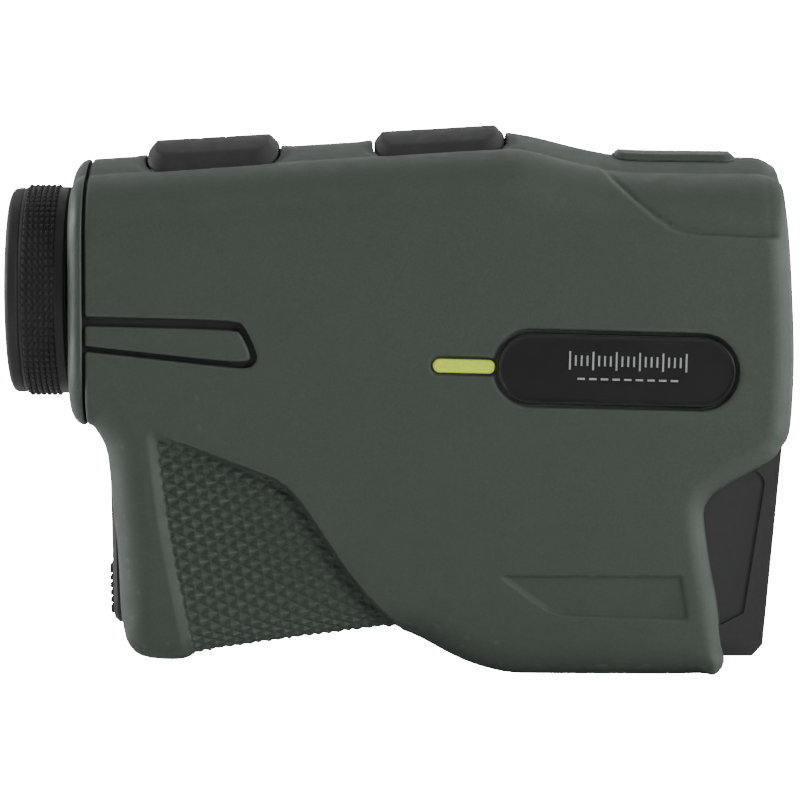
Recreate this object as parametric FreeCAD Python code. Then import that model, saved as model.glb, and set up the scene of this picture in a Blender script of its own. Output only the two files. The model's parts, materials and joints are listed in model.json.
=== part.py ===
"""Handheld monocular laser rangefinder, modelled as a bench-strippable assembly.

Frame: millimetres, +X towards the target (objective end), +Y to the user's left, +Z up.
The origin is the mouth of the tripod socket in the flat base, so z = 0 is the base plane.
Two moulded half chassis carry the optics, the laser and the battery. A soft green armour
skin is moulded over each half, a black bezel closes the front and a green cap the rear.
"""
import FreeCAD
import Part
import math
import os

from FreeCAD import Vector

# ---------------------------------------------------------------- driving dimensions
ARMOUR_T = 1.5              # armour skin over the chassis
CHASSIS_T = 1.7             # chassis wall
SHOULDER_R = 9.5            # rounding between the top strip and the sides
KEEL_R = 5.0                # rounding along the base
CROWN = 2.2                 # how far the domed top strip falls from its centre to its edge
TOP_SLOPE = 3.3             # degrees: the button deck rises towards the front
REAR_X = -71.6              # rear end of the shell
FRONT_X = 25.8              # front rim of the hood
DECK_REAR_Z = 71.6          # top of the shell at its rear end
CREST_X = -13.0             # where the button deck ends
FRONT_TOP_Z = 71.6          # top of the shell over the objective
AXIS_Z = 53.0               # optical axis of objective, prisms and eyepiece
LASER_Z = 18.5              # axis of the laser transmitter
LASER_TUBE_R = 9.6
BATTERY_Z = 19.5            # axis of the CR2 cell in the grip
EYECUP_END_X = -83.5        # rear rim of the eyecup
BUTTON_TRAVEL = 0.5
EYECUP_TRAVEL = 3.2
FOCUS_TRAVEL = 1.2          # either way, over DIOPTER_TURN
DIOPTER_TURN = 100.0        # degrees either way
LATCH_TRAVEL = 1.3
GAP = 0.15                  # working gap round moving covers

CREST_Z = DECK_REAR_Z + (CREST_X - REAR_X) * math.tan(math.radians(TOP_SLOPE))
# (x, half width) of the shell in plan: it flares gently from the eyepiece to the objective
PLAN = [(-80.0, 17.5), (-45.0, 18.3), (-12.0, 19.4), (8.0, 20.0), (32.0, 20.0)]
# (x, top z) of the shell along its centre plane
TOP = [(-80.0, DECK_REAR_Z - 8.4 * math.tan(math.radians(TOP_SLOPE))),
       (REAR_X, DECK_REAR_Z), (-45.0, DECK_REAR_Z + 26.6 * math.tan(math.radians(TOP_SLOPE))),
       (CREST_X - 4.0, CREST_Z - 0.4), (CREST_X + 2.0, CREST_Z - 0.4), (-5.0, 73.1),
       (3.0, FRONT_TOP_Z), (32.0, FRONT_TOP_Z)]


# ---------------------------------------------------------------- small helpers
def between(table, x):
    """Straight-line value of a table of (x, value) at x."""
    for (x0, v0), (x1, v1) in zip(table, table[1:]):
        if x <= x1:
            return v0 + (v1 - v0) * (x - x0) / (x1 - x0)
    return table[-1][1]


def place(plane, u, v, w=0.0):
    """A point from plane coordinates: XZ, YZ or XY, with w along the plane's normal."""
    return {"XZ": Vector(u, w, v), "YZ": Vector(w, u, v), "XY": Vector(u, v, w)}[plane]


def rounded_wire(points, plane, w=0.0):
    """Closed wire through (u, v, radius) corners, each corner an arc tangent to its two sides."""
    corners = []
    count = len(points)
    for i, (u, v, r) in enumerate(points):
        p = Vector(u, v, 0)
        a = Vector(points[i - 1][0], points[i - 1][1], 0) - p
        b = Vector(points[(i + 1) % count][0], points[(i + 1) % count][1], 0) - p
        half = a.getAngle(b) / 2
        if r <= 0 or half > math.pi / 2 - 1e-3:
            corners.append((p, p, p))
            continue
        reach = r / math.tan(half)
        a.normalize()
        b.normalize()
        centre = p + (a + b).normalize() * (r / math.sin(half))
        middle = centre + (p - centre).normalize() * r
        corners.append((p + a * reach, middle, p + b * reach))
    edges = []
    for i, (start, middle, end) in enumerate(corners):
        if (end - start).Length > 1e-6:
            edges.append(Part.Arc(*[place(plane, q.x, q.y, w) for q in (start, middle, end)]).toShape())
        following = corners[(i + 1) % count][0]
        if (following - end).Length > 1e-6:
            ends = [place(plane, q.x, q.y, w) for q in (end, following)]
            edges.append(Part.makeLine(*ends))
    return Part.Wire(edges)


def prism(points, plane, low, high):
    """Rounded outline extruded from low to high along the plane's normal."""
    points = [(p[0], p[1], p[2] if len(p) > 2 else 0.0) for p in points]
    face = Part.Face(rounded_wire(points, plane, low))
    return face.extrude(place(plane, 0, 0, high - low))


def rectangle(u0, u1, v0, v1, r=0.0):
    return [(u0, v0, r), (u1, v0, r), (u1, v1, r), (u0, v1, r)]


def box(x0, x1, y0, y1, z0, z1):
    return Part.makeBox(x1 - x0, y1 - y0, z1 - z0, Vector(x0, y0, z0))


def rod(axis, r, low, high, a=0.0, b=0.0):
    """Cylinder along X, Y or Z from low to high; a and b are its other two coordinates in order."""
    at = {"X": Vector(low, a, b), "Y": Vector(a, low, b), "Z": Vector(a, b, low)}[axis]
    way = {"X": Vector(1, 0, 0), "Y": Vector(0, 1, 0), "Z": Vector(0, 0, 1)}[axis]
    return Part.makeCylinder(r, high - low, at, way)


def tube(axis, r_out, r_in, low, high, a=0.0, b=0.0):
    return rod(axis, r_out, low, high, a, b).cut(rod(axis, r_in, low - 1, high + 1, a, b))


def fuse(*shapes):
    whole = shapes[0]
    for s in shapes[1:]:
        whole = whole.fuse(s)
    return whole.removeSplitter()


def turned(profile, z_axis):
    """Solid of revolution about the X axis at height z_axis, from (x, radius) corners."""
    corners = [Vector(x, 0, z_axis + r) for x, r in profile]
    face = Part.Face(Part.makePolygon(corners + corners[:1]))
    return face.revolve(Vector(0, 0, z_axis), Vector(1, 0, 0), 360)


def sag_at_half(radius, bulge):
    """Height over the rim, half way out, of a spherical face that bulges by bulge at its centre."""
    sphere = (radius ** 2 + bulge ** 2) / (2 * abs(bulge))
    height = abs(bulge) - sphere + math.sqrt(sphere ** 2 - radius ** 2 / 4)
    return math.copysign(height, bulge)


def lens(radius, back, front, back_bulge, front_bulge, z_axis):
    """Round lens on the X axis: flat rim from back to front, spherical faces bulging by the stated sag."""
    half = z_axis + radius / 2
    front_sag, back_sag = sag_at_half(radius, front_bulge), sag_at_half(radius, back_bulge)
    arc_front = Part.Arc(Vector(front, 0, z_axis + radius), Vector(front + front_sag, 0, half),
                         Vector(front + front_bulge, 0, z_axis)).toShape()
    arc_back = Part.Arc(Vector(back - back_bulge, 0, z_axis), Vector(back - back_sag, 0, half),
                        Vector(back, 0, z_axis + radius)).toShape()
    axis_line = Part.makeLine(Vector(front + front_bulge, 0, z_axis), Vector(back - back_bulge, 0, z_axis))
    rim = Part.makeLine(Vector(back, 0, z_axis + radius), Vector(front, 0, z_axis + radius))
    face = Part.Face(Part.Wire([rim, arc_front, axis_line, arc_back]))
    return face.revolve(Vector(0, 0, z_axis), Vector(1, 0, 0), 360)


def screw(axis, head_r, head_h, shank_r, length, at, towards=1):
    """Pan-head screw: its head's seat is at the given point, and the shank runs towards + or - axis."""
    way = {"X": Vector(1, 0, 0), "Y": Vector(0, 1, 0), "Z": Vector(0, 0, 1)}[axis] * towards
    at = Vector(*at)
    body = Part.makeCylinder(shank_r, length, at, way)
    head = Part.makeCylinder(head_r, head_h, at, way * -1)
    top_edge = [e for e in head.Edges if abs((e.CenterOfMass - at).Length - head_h) < 0.01]
    head = head.makeChamfer(head_h * 0.3, top_edge)
    drive = head_r * 0.45
    socket = Part.makeCylinder(drive, head_h * 0.6, at - way * head_h, way)
    return head.fuse(body).cut(socket).removeSplitter()


def half_space(side):
    """Big block on the user's right (side -1) or left (side +1) of the centre plane."""
    return box(-120, 60, -40, 0, -20, 120) if side < 0 else box(-120, 60, 0, 40, -20, 120)


def mirrored(shape):
    return shape.mirror(Vector(0, 0, 0), Vector(0, 1, 0))


# ---------------------------------------------------------------- shell envelope
def section(x, inset):
    """Cross-section of the shell at x, shrunk all round by inset."""
    w = between(PLAN, x) - inset
    top = between(TOP, x) - inset
    low = inset
    shoulder, keel = SHOULDER_R - inset, max(KEEL_R - inset, 1.0)
    edge = top - CROWN
    flat = w - shoulder

    def p(y, z):
        return Vector(x, y, z)

    def corner(cy, cz, r, sy, sz):
        d = r / math.sqrt(2)
        return p(cy + sy * d, cz + sz * d)

    def arc(a, b, c):
        return Part.Arc(a, b, c).toShape()

    high, deep = edge - shoulder, low + keel
    return Part.Wire([
        Part.makeLine(p(-w + keel, low), p(w - keel, low)),
        arc(p(w - keel, low), corner(w - keel, deep, keel, 1, -1), p(w, deep)),
        Part.makeLine(p(w, deep), p(w, high)),
        arc(p(w, high), corner(flat, high, shoulder, 1, 1), p(flat, edge)),
        arc(p(flat, edge), p(0, top), p(-flat, edge)),
        arc(p(-flat, edge), corner(-flat, high, shoulder, -1, 1), p(-w, high)),
        Part.makeLine(p(-w, high), p(-w, deep)),
        arc(p(-w, deep), corner(-w + keel, deep, keel, -1, -1), p(-w + keel, low))])


def envelope(inset):
    """The long body that every shell layer is cut from: full height, with its ends left long."""
    stations = sorted({x for x, _ in PLAN} | {x for x, _ in TOP})
    return Part.makeLoft([section(x, inset) for x in stations], True, True)


def side_outline(inset):
    """Side view of the shell without its front: base, grip, rear and a top clear of the envelope."""
    i = inset
    return [(REAR_X, 90, 0), (REAR_X, 35.6 + i, 0), (-69.1 + i, 33.2 + i, 0.5),
            (-67.3 + i, 2.0 + i, 4.0 - i * 0.7), (-58.2, 2.0 + i, 0), (-56.8, 3.4 + i, 0),
            (-29.5, 7.2 + i, 1.0), (-26.0, 6.0 + i, 3.0),
            (-13.0, 0.0 + i, 18.0), (15.0 - i, 0.0 + i, 0)]


def armour_outline():
    """Side view of the green armour, with the swept cut-away that bares the lower front."""
    return side_outline(0) + [(16.7, 1.6, 0.3), (16.7, 3.2, 0), (13.0, 25.0, 5.0), (25.2, 31.6, 1.5),
                              (FRONT_X + 0.2, 46.0, 30.0), (24.6, 66.0, 20.0), (23.8, FRONT_TOP_Z + 0.5, 2.0),
                              (23.0, 90, 0)]


def core_outline(inset, front):
    """Side view of a layer under the armour, up to the given front line."""
    return side_outline(inset) + front + [(front[-1][0], 90, 0)]


# The bezel's own front line: upright behind the hood, proud and raked under the cut-away.
BEZEL_FACE_X = 22.0
BEZEL_BACK_X = 19.4
CORE_FRONT = [(15.0, 2.9, 0), (20.2, 2.9, 0.4), (21.6, 4.6, 0.6), (24.2, 32.6, 1.0), (23.4, 34.2, 0),
              (BEZEL_FACE_X, 34.2, 0)]
BEZEL_ZONE = [(BEZEL_BACK_X, 90, 0), (BEZEL_BACK_X, 8.4, 1.0), (15.9, 7.4, 0), (15.9, -5, 0), (40, -5, 0),
              (40, 90, 0)]
# The grip's rear edges: rounded in plan up to the overhang under the eyepiece.
PALM_R = 6.0
PALM_X, PALM_TOP = -67.2, 33.0      # foot of the palm side, and where the rounding ends
PALM_TILT = 3.3                     # degrees: it leans back towards the eye
PALM_OVERRUN = 0.08                 # the quarter round meets the flats at a slight angle
# Shallow panel let into each bare cheek of the lower front.
CHEEK = [(12.0, 7.0, 0), (16.0, 7.4, 0), (19.0, 9.0, 0.6), (22.2, 29.5, 2.0), (12.0, 27.0, 0)]
CHEEK_Y = 18.05
HALF = 30.0                 # prisms that cut the whole width run this far either side

WALL = ARMOUR_T + CHASSIS_T
TRIPOD_BORE_R, TRIPOD_BORE_DEPTH = 2.6, 6.6
BUSH_R, BUSH_FLANGE_R, BUSH_H = 4.0, 5.0, 7.2
BUSH_FLANGE = (3.0, 5.4)    # z of the flange that locks the bush into the base
CELL_BAY_R = 9.3            # outside of the battery tube

# Side view of the waisted grip panel, which stands in from the sides and deepens towards the front.
GRIP_PANEL = [(-62.3, 33.2, 1.0), (-60.8, 21.6, 0), (-59.6, 14.5, 0), (-56.8, -4.0, 0), (-26.0, -4.0, 0),
              (-30.0, 7.7, 0), (-36.1, 14.5, 6.0), (-42.4, 26.0, 8.0)]
GRIP_REAR_Y, GRIP_FRONT_Y = 17.3, 16.2      # half width over the panel at its rear and front edges


def grip_relief(inset):
    """What the grip panel takes off both sides of a layer that lies inset under the surface."""
    face = Part.Face(rounded_wire([(*p, 0.0)[:3] for p in GRIP_PANEL], "XZ", 5.0))
    if inset:
        face = face.makeOffset2D(inset)
    block = face.extrude(Vector(0, 25, 0))
    keep = [(-80.0, 0), (-80.0, GRIP_REAR_Y + 0.7 - inset), (-30.0, GRIP_FRONT_Y - inset),
            (-10.0, GRIP_FRONT_Y - 0.7 - inset), (-10.0, 0)]
    block = block.cut(prism(keep, "XY", -20, 90))
    return block.fuse(block.mirror(Vector(0, 0, 0), Vector(0, 1, 0)))




def palm_corners(inset):
    """What comes off the grip's two rear edges to leave them rounded in plan."""
    r = PALM_R - inset
    half = between(PLAN, PALM_X + PALM_R) - inset
    front = PALM_X + PALM_R
    corner = box(PALM_X - 9, front, half - r, half + 9, -10, PALM_TOP)
    corner = corner.cut(rod("Z", r, -11, PALM_TOP + 1, front - PALM_OVERRUN, half - r + PALM_OVERRUN))
    corner.Placement = FreeCAD.Placement(Vector(0, 0, 0), FreeCAD.Rotation(Vector(0, 1, 0), -PALM_TILT),
                                         Vector(PALM_X, 0, 0))
    return corner.fuse(mirrored(corner))


def layer(inset):
    return envelope(inset).cut(grip_relief(inset)).cut(palm_corners(inset))


OUTER = layer(0)
MIDDLE = layer(ARMOUR_T)
INNER = layer(WALL)
CORE = MIDDLE.common(prism(core_outline(ARMOUR_T, CORE_FRONT), "XZ", -HALF, HALF))
for low, high in ((CHEEK_Y, HALF), (-HALF, -CHEEK_Y)):
    CORE = CORE.cut(prism(CHEEK, "XZ", low, high))
CAVITY_FRONT = [(12.0, WALL, 0), (BEZEL_BACK_X, 8.0, 0), (BEZEL_BACK_X, 90, 0)]
CAVITY = INNER.common(prism(side_outline(WALL)[:-1] + CAVITY_FRONT, "XZ", -HALF, HALF))
CAVITY = CAVITY.common(box(REAR_X + CHASSIS_T, BEZEL_BACK_X, -HALF, HALF, 0, 90))
BEZEL_BLOCK = prism(BEZEL_ZONE, "XZ", -HALF, HALF)

# ---------------------------------------------------------------- button deck frame
DECK = FreeCAD.Placement(Vector(REAR_X, 0, DECK_REAR_Z), FreeCAD.Rotation(Vector(0, 1, 0), -TOP_SLOPE))
BUTTON_L, BUTTON_W = 18.6, 16.8
DOME_R = 13.0               # roof radius of the button caps, across the deck
BUTTON_AT = {"power": 16.8, "mode": 48.7}          # along the deck from the shell's rear end
BUTTON_PROUD = {"power": 2.1, "mode": 1.5}      # how far each cap stands above the deck
STEM_END = -4.6
BOARD_LOW, BOARD_TOP = -6.7, -6.0
BOARD_REAR, BOARD_FRONT = 4.2, 62.0


def on_deck(shape):
    shape = shape.copy()
    shape.Placement = DECK.multiply(shape.Placement)
    return shape


def button_opening(at, grow):
    l, w = BUTTON_L / 2 + grow, BUTTON_W / 2 + grow
    return on_deck(prism(rectangle(at - l, at + l, -w, w, 3.2 + grow), "XY", -12, 8))


def button(name):
    """Domed cap with a bevelled rim, a retaining tab at each end and a central stem."""
    at, proud = BUTTON_AT[name], BUTTON_PROUD[name]
    l, w = BUTTON_L / 2, BUTTON_W / 2
    cap = prism(rectangle(at - l, at + l, -w, w, 3.2), "XY", -4.8, proud + 1)
    cap = cap.common(rod("X", DOME_R, at - 20, at + 20, 0, proud - DOME_R))
    rim = [e for e in cap.Edges if e.CenterOfMass.z > proud - 3.4]
    cap = cap.makeChamfer(1.2, rim)
    flange = prism(rectangle(at - l - 1, at + l + 1, -4.0, 4.0, 1.0), "XY", -4.8, -4.15)
    hollow = prism(rectangle(at - l + 1.4, at + l - 1.4, -w + 1.4, w - 1.4, 2.0), "XY", -5, -1.8)
    stem = Part.makeCylinder(1.5, -STEM_END - 0.6, Vector(at, 0, STEM_END))
    return on_deck(fuse(cap, flange).cut(hollow).fuse(stem))


# ---------------------------------------------------------------- battery door frame
# Local u points out of the rear face of the grip and local h runs up it.
DOOR_TILT = 1.2
DOOR_ORIGIN = Vector(-68.35, 0, 20.0)
DOOR = FreeCAD.Placement(DOOR_ORIGIN, FreeCAD.Rotation(Vector(0, 1, 0), -DOOR_TILT))
DOOR_W = 10.4               # half width
DOOR_LOW, DOOR_TOP = -13.6, 10.2
DOOR_OUT, DOOR_IN = 0.55, -1.3
DOOR_CORNER_R = 3.4
PIN_U, PIN_H, PIN_R = -0.4, 12.0, 0.7
KNUCKLE_R, KNUCKLE_W = 1.3, 3.1
LUG_IN_Y, LUG_OUT_Y = 3.5, 6.2      # hinge lugs of the chassis, either side of the knuckle
SEAL_OUT_R, SEAL_IN_R, SEAL_SEAT = 9.5, 8.65, 0.55
LATCH_LOW = DOOR_LOW + 1.0          # lower edge of the thumb pad when unlocked
LATCH_H, LATCH_W, LATCH_PROUD = 7.0, 6.1, 1.25
LATCH_FLOOR = -0.4                  # the pad slides on this level of the door
RAIL_W, RAIL_TOP = 6.8, 0.05        # the rails under the pad, held by the pocket's undercut
TOE_LOW, TOE_TOP, TOE_W = DOOR_LOW + 0.25, DOOR_LOW + 2.4, 2.2
TOE_REACH, TOE_HEEL = -3.5, -2.6    # depth of the toe's tip and of its locking face
LIP_LOW = DOOR_LOW + 0.25 - LATCH_TRAVEL - 0.2


def on_door(shape):
    shape = shape.copy()
    shape.Placement = DOOR.multiply(shape.Placement)
    return shape


def slab(u0, u1, y0, y1, h0, h1, r=0.0):
    """Block in the door's frame: u runs outwards (towards -X)."""
    return prism(rectangle(y0, y1, h0, h1, r), "YZ", -u1, -u0)


def door_opening(depth):
    """Clearance for the door's plate, down to the given depth under the palm surface."""
    return on_door(slab(depth, 6, -DOOR_W - GAP, DOOR_W + GAP, DOOR_LOW - GAP, DOOR_TOP + GAP,
                        DOOR_CORNER_R + GAP))


def knuckle_opening():
    reach = LUG_OUT_Y + 0.4
    return on_door(slab(-1.9, 6, -reach, reach, DOOR_TOP - 1, PIN_H + KNUCKLE_R + 0.5))


# ---------------------------------------------------------------- side graphics
PLATE_AT = (1.2, 43.3)
PLATE_L, PLATE_H = 32.4, 9.2
PLATE_TILT = -1.5
PLATE_EDGE = 0.45
ACCENT_L, ACCENT_H = 8.4, 2.0


def pill(length, height, grow, low, high):
    l, h = length / 2 + grow, height / 2 + grow
    r = h - 0.01
    return prism(rectangle(-l, l, -h, h, r), "XZ", low, high)


def tilted(shape, dx=0.0):
    """Moves a plate drawn about the origin onto the side face, with the plate's own slope."""
    shape = shape.copy()
    turn = FreeCAD.Rotation(Vector(0, 1, 0), -PLATE_TILT)
    spin = FreeCAD.Placement(Vector(PLATE_AT[0], 0, PLATE_AT[1]), turn)
    shape.Placement = spin.multiply(FreeCAD.Placement(Vector(dx, 0, 0), FreeCAD.Rotation()))
    return shape


ACCENT_DX = -(PLATE_L / 2 + ACCENT_L / 2 + 0.3)
PLATE_FLOOR = 18.7          # |y| of the pocket floor under the plate
ACCENT_FLOOR = 18.1
PLATE_FACE = 19.75          # |y| of the plate's face

WEDGE_OUTER = [(-75.0, 50.6, 0), (-50.2, 50.2, 1.6), (-47.5, 43.4, 1.6), (-75.0, 45.9, 0)]
WEDGE_INNER = [(-70.9, 49.1, 0.5), (-51.0, 48.8, 1.0), (-48.9, 44.3, 1.0), (-70.9, 46.4, 0.5)]

SCREW_AT = [(-64.5, 32.6), (-27.5, 15.0), (-26.0, 33.0), (2.0, 33.0)]
BEZEL_SCREW_AT = [(-14.4, 33.5), (14.4, 33.5), (-13.6, 11.0), (13.6, 11.0)]
FLANGE_SCREW_DEG = (45, 135, 225, 315)
FLANGE_SCREW_R = 14.4


# ---------------------------------------------------------------- shells and covers
def armour(side):
    skin = OUTER.common(prism(armour_outline(), "XZ", -HALF, HALF)).cut(CORE)
    # The hood is open in front of the bezel.
    skin = skin.cut(envelope(2.4).common(prism(
        [(BEZEL_FACE_X - 3, 36, 0), (40, 36, 0), (40, 90, 0), (BEZEL_FACE_X - 3, 90, 0)], "XZ", -HALF, HALF)))
    skin = skin.cut(envelope(2.4).common(box(BEZEL_FACE_X - 0.5, 40, -HALF, HALF, 20, 36.5)))
    skin = skin.common(half_space(side))
    for at in BUTTON_AT.values():
        skin = skin.cut(button_opening(at, GAP))
    skin = skin.cut(door_opening(-3.0)).cut(knuckle_opening())
    reach, low = LATCH_W + 0.3, LATCH_LOW - LATCH_TRAVEL - 0.2
    skin = skin.cut(on_door(slab(LATCH_FLOOR, 6, -reach, reach, low, DOOR_LOW + 2)))
    skin = skin.cut(rod("Z", BUSH_FLANGE_R + 0.4, -1, 12))
    pocket = tilted(pill(PLATE_L, PLATE_H, PLATE_EDGE, PLATE_FLOOR, 24))
    strip = tilted(pill(ACCENT_L, ACCENT_H, 0.25, ACCENT_FLOOR + 0.6, 24), ACCENT_DX)
    groove = prism(WEDGE_OUTER, "XZ", 8, 24).cut(prism(WEDGE_INNER, "XZ", 7, 25))
    inlay = prism(WEDGE_INNER, "XZ", 7, 25)
    for cutter in (pocket, strip, groove, inlay):
        skin = skin.cut(cutter if side > 0 else mirrored(cutter))
    if side > 0:
        for x, z in SCREW_AT:
            skin = skin.cut(rod("Y", 2.5, 8, 30, x, z))
    return skin


def side_inlays():
    skin = OUTER.common(prism(armour_outline(), "XZ", -HALF, HALF)).cut(CORE)
    solid = skin.common(prism(WEDGE_INNER, "XZ", 8, 25))
    return Part.makeCompound([solid, mirrored(solid)])


def chassis(side):
    shell = CORE.cut(CAVITY).cut(BEZEL_BLOCK)
    shell = shell.common(half_space(side))
    bosses = []
    for x, z in SCREW_AT:
        reach = between(PLAN, x) - ARMOUR_T - 0.6
        boss = rod("Y", 2.6, 0 if side > 0 else -reach, reach if side > 0 else 0, x, z)
        bosses.append(boss.common(CORE))
    for y, z in BEZEL_SCREW_AT:
        if y * side > 0:
            bosses.append(rod("X", 2.3, 9.0, BEZEL_BACK_X, y, z).fuse(
                box(9.0, BEZEL_BACK_X, *sorted((y, side * 17.2)), z - 1.2, z + 1.2)))
    for along in (BOARD_REAR + 0.8, 32.8, 60.4):
        bosses.append(on_deck(rod("Z", 1.2, BOARD_TOP + 0.03, -3.0, along, side * 5.0)))
    shell = fuse(shell, *[b.common(half_space(side)) for b in bosses])
    for x, z in SCREW_AT:
        if side > 0:
            shell = shell.cut(rod("Y", 1.15, -1, 30, x, z)).cut(rod("Y", 2.2, screw_seat(x), 30, x, z))
        else:
            shell = shell.cut(rod("Y", 1.02, -9.5, 1, x, z))
    for y, z in BEZEL_SCREW_AT:
        shell = shell.cut(rod("X", 0.82, 11.0, 30, y, z))
    for at in BUTTON_AT.values():
        shell = shell.cut(button_opening(at, GAP + 0.1))
    # Rear wall: eyepiece hole, flange screws, battery mouth, hinge recess and the latch's strike slot.
    shell = shell.cut(rod("X", 12.7, -80, -66, 0, AXIS_Z))
    for y, z in flange_screw_points():
        shell = shell.cut(rod("X", 0.82, -80, -66, y, z))
    shell = shell.cut(rod("X", CELL_BAY_R + 0.1, -75, -60, 0, BATTERY_Z))
    shell = shell.cut(door_opening(DOOR_IN - GAP))
    room = KNUCKLE_W + 0.3
    shell = shell.cut(on_door(slab(-2.9, 6, -room, room, DOOR_TOP - 0.6, PIN_H + KNUCKLE_R + 0.5)))
    # The latch's toe passes over a lip in the chassis and drops behind it.
    room, deep = TOE_W + 0.6, TOE_REACH - 0.7
    shell = shell.cut(on_door(slab(deep, 6, -room, room, DOOR_LOW - GAP, TOE_TOP + 0.8)))
    shell = shell.cut(on_door(slab(deep, TOE_HEEL + 0.1, -room, room, LIP_LOW, TOE_TOP + 0.8)))
    shell = shell.cut(bush_seat())
    # Hinge lugs stand either side of the door's knuckle.
    lug_y = sorted((side * LUG_IN_Y, side * LUG_OUT_Y))
    lug = rod("Y", KNUCKLE_R, lug_y[0], lug_y[1], -PIN_U, PIN_H).fuse(
        slab(-2.6, PIN_U, lug_y[0], lug_y[1], PIN_H - KNUCKLE_R, PIN_H + KNUCKLE_R))
    lug = lug.cut(rod("Y", PIN_R, lug_y[0] - 1, lug_y[1] + 1, -PIN_U, PIN_H))
    lug = on_door(lug)
    lug = lug.cut(rod("X", CELL_BAY_R + 0.1, -75, -60, 0, BATTERY_Z))
    shell = shell.cut(on_door(rod("Y", PIN_R, lug_y[0] - 0.1, lug_y[1] + 0.1, -PIN_U, PIN_H)))
    # The base block holds the tripod bush under the laser barrel.
    block = prism(rectangle(-6.5, 6.5, 0, 6.5, 0), "XY", 2.2, 8.2)
    block = block if side > 0 else mirrored(block)
    block = block.cut(bush_seat())
    block = block.cut(rod("X", LASER_TUBE_R + 0.3, -20, 20, 0, LASER_Z))
    return fuse(shell, lug, block)


def bush_seat():
    """Room for the tripod bush and its flange, open at the base."""
    return rod("Z", BUSH_R + 0.05, -1, BUSH_H + 0.1).fuse(
        rod("Z", BUSH_FLANGE_R + 0.05, BUSH_FLANGE[0] - 0.1, BUSH_H + 0.2))


def screw_seat(x):
    return between(PLAN, x) - ARMOUR_T - 2.6


def flange_screw_points():
    return [(FLANGE_SCREW_R * math.cos(math.radians(d)), AXIS_Z + FLANGE_SCREW_R * math.sin(math.radians(d)))
            for d in FLANGE_SCREW_DEG]


def front_bezel():
    block = CORE.common(BEZEL_BLOCK)
    x = BEZEL_FACE_X
    hollow = [(10, 8.2), (x - 2.4, 8.2), (x - 1.0, 32.0), (x - 2.2, 34.6), (x - 2.2, 90), (10, 90)]
    block = block.cut(INNER.common(prism(hollow, "XZ", -HALF, HALF)))
    block = block.cut(box(10, 19.0, -14.4, 14.4, 4.6, 9))
    opening = turned([(10, 0), (10, 13.4), (20.6, 13.4), (x + 0.5, 14.8), (x + 0.5, 0)], AXIS_Z)
    window = turned([(10, 0), (10, 8.8), (21.6, 8.8), (26.0, 10.6), (26.0, 0)], LASER_Z)
    block = block.cut(opening).cut(window)
    for y, z in BEZEL_SCREW_AT:
        ear = rod("X", 2.3, BEZEL_BACK_X, x, y, z).common(CORE)
        hole = rod("X", 0.95, 10, 30, y, z).fuse(rod("X", 1.75, x - 1.1, 40, y, z))
        block = block.fuse(ear).cut(hole)
    return block.removeSplitter()


def cap_slice(x0, x1, inset):
    """Slice of the upper body between two x stations, rounded off underneath the eyepiece."""
    width = 17.6 - inset
    window = prism(rectangle(-width, width, 34.6 + inset, 95.0, SHOULDER_R - inset), "YZ", x0, x1)
    return envelope(inset).common(window)


def rear_cap():
    body = cap_slice(-74.6, -72.4, 0)
    outer = [e for e in body.Edges if abs(e.CenterOfMass.x + 74.6) < 1e-3]
    body = body.makeChamfer(1.9, outer)
    body = body.cut(rod("X", 13.2, -80, -70, 0, AXIS_Z))
    for y, z in flange_screw_points():
        body = body.cut(rod("X", 0.82, -73.9, -70, y, z))
    return body


def rear_gasket():
    body = cap_slice(-72.4, REAR_X, 0.9)
    body = body.cut(rod("X", 12.7, -80, -70, 0, AXIS_Z))
    for y, z in flange_screw_points():
        body = body.cut(rod("X", 0.82, -80, -70, y, z))
    return body


def top_plate():
    """Raised pad over the objective, bridging the joint between the armour halves."""
    top = FRONT_TOP_Z + 0.85
    pad = prism(rectangle(1.6, 19.0, -5.4, 5.4, 2.0), "XY", 60, top + 1)
    pad = pad.common(rod("X", 24.0, -5, 30, 0, top - 24.0))
    pad = pad.makeChamfer(0.6, [e for e in pad.Edges if e.CenterOfMass.z > top - 0.9])
    return pad.cut(envelope(0))


def nameplates():
    plate = tilted(pill(PLATE_L, PLATE_H, 0, PLATE_FLOOR, PLATE_FACE))
    return Part.makeCompound([plate, mirrored(plate)])


def accent_bars():
    bar = tilted(pill(ACCENT_L, ACCENT_H, 0, ACCENT_FLOOR + 0.6, 19.45), ACCENT_DX)
    return Part.makeCompound([bar, mirrored(bar)])


# ---------------------------------------------------------------- eyepiece
TUBE_R, NECK_R, TUBE_IN = 12.6, 12.0, 11.2
CELL_R, CELL_IN = 11.15, 9.6
FOCUS_PIN_X = -77.0
RING_MOUTH_X = -80.6        # rear end of the diopter ring, where the eyecup's skirt enters
FOCUS_PIN_R = 0.7
HELIX_PITCH = FOCUS_TRAVEL / DIOPTER_TURN * 360.0


def sector(r_in, r_out, x0, x1, half_angle):
    """Part of a ring about the optical axis, centred on straight up, half_angle degrees each way."""
    steps = 24
    angles = [math.radians(90 + half_angle * (2 * i / steps - 1)) for i in range(steps + 1)]

    def arc(r):
        picks = [angles[0], angles[steps // 2], angles[-1]]
        return [Vector(x0, r * math.cos(a), AXIS_Z + r * math.sin(a)) for a in picks]

    outer, inner = arc(r_out), arc(r_in)
    wire = Part.Wire([Part.Arc(*outer).toShape(), Part.makeLine(outer[2], inner[2]),
                      Part.Arc(*inner[::-1]).toShape(), Part.makeLine(inner[0], outer[0])])
    return Part.Face(wire).extrude(Vector(x1 - x0, 0, 0))


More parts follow.
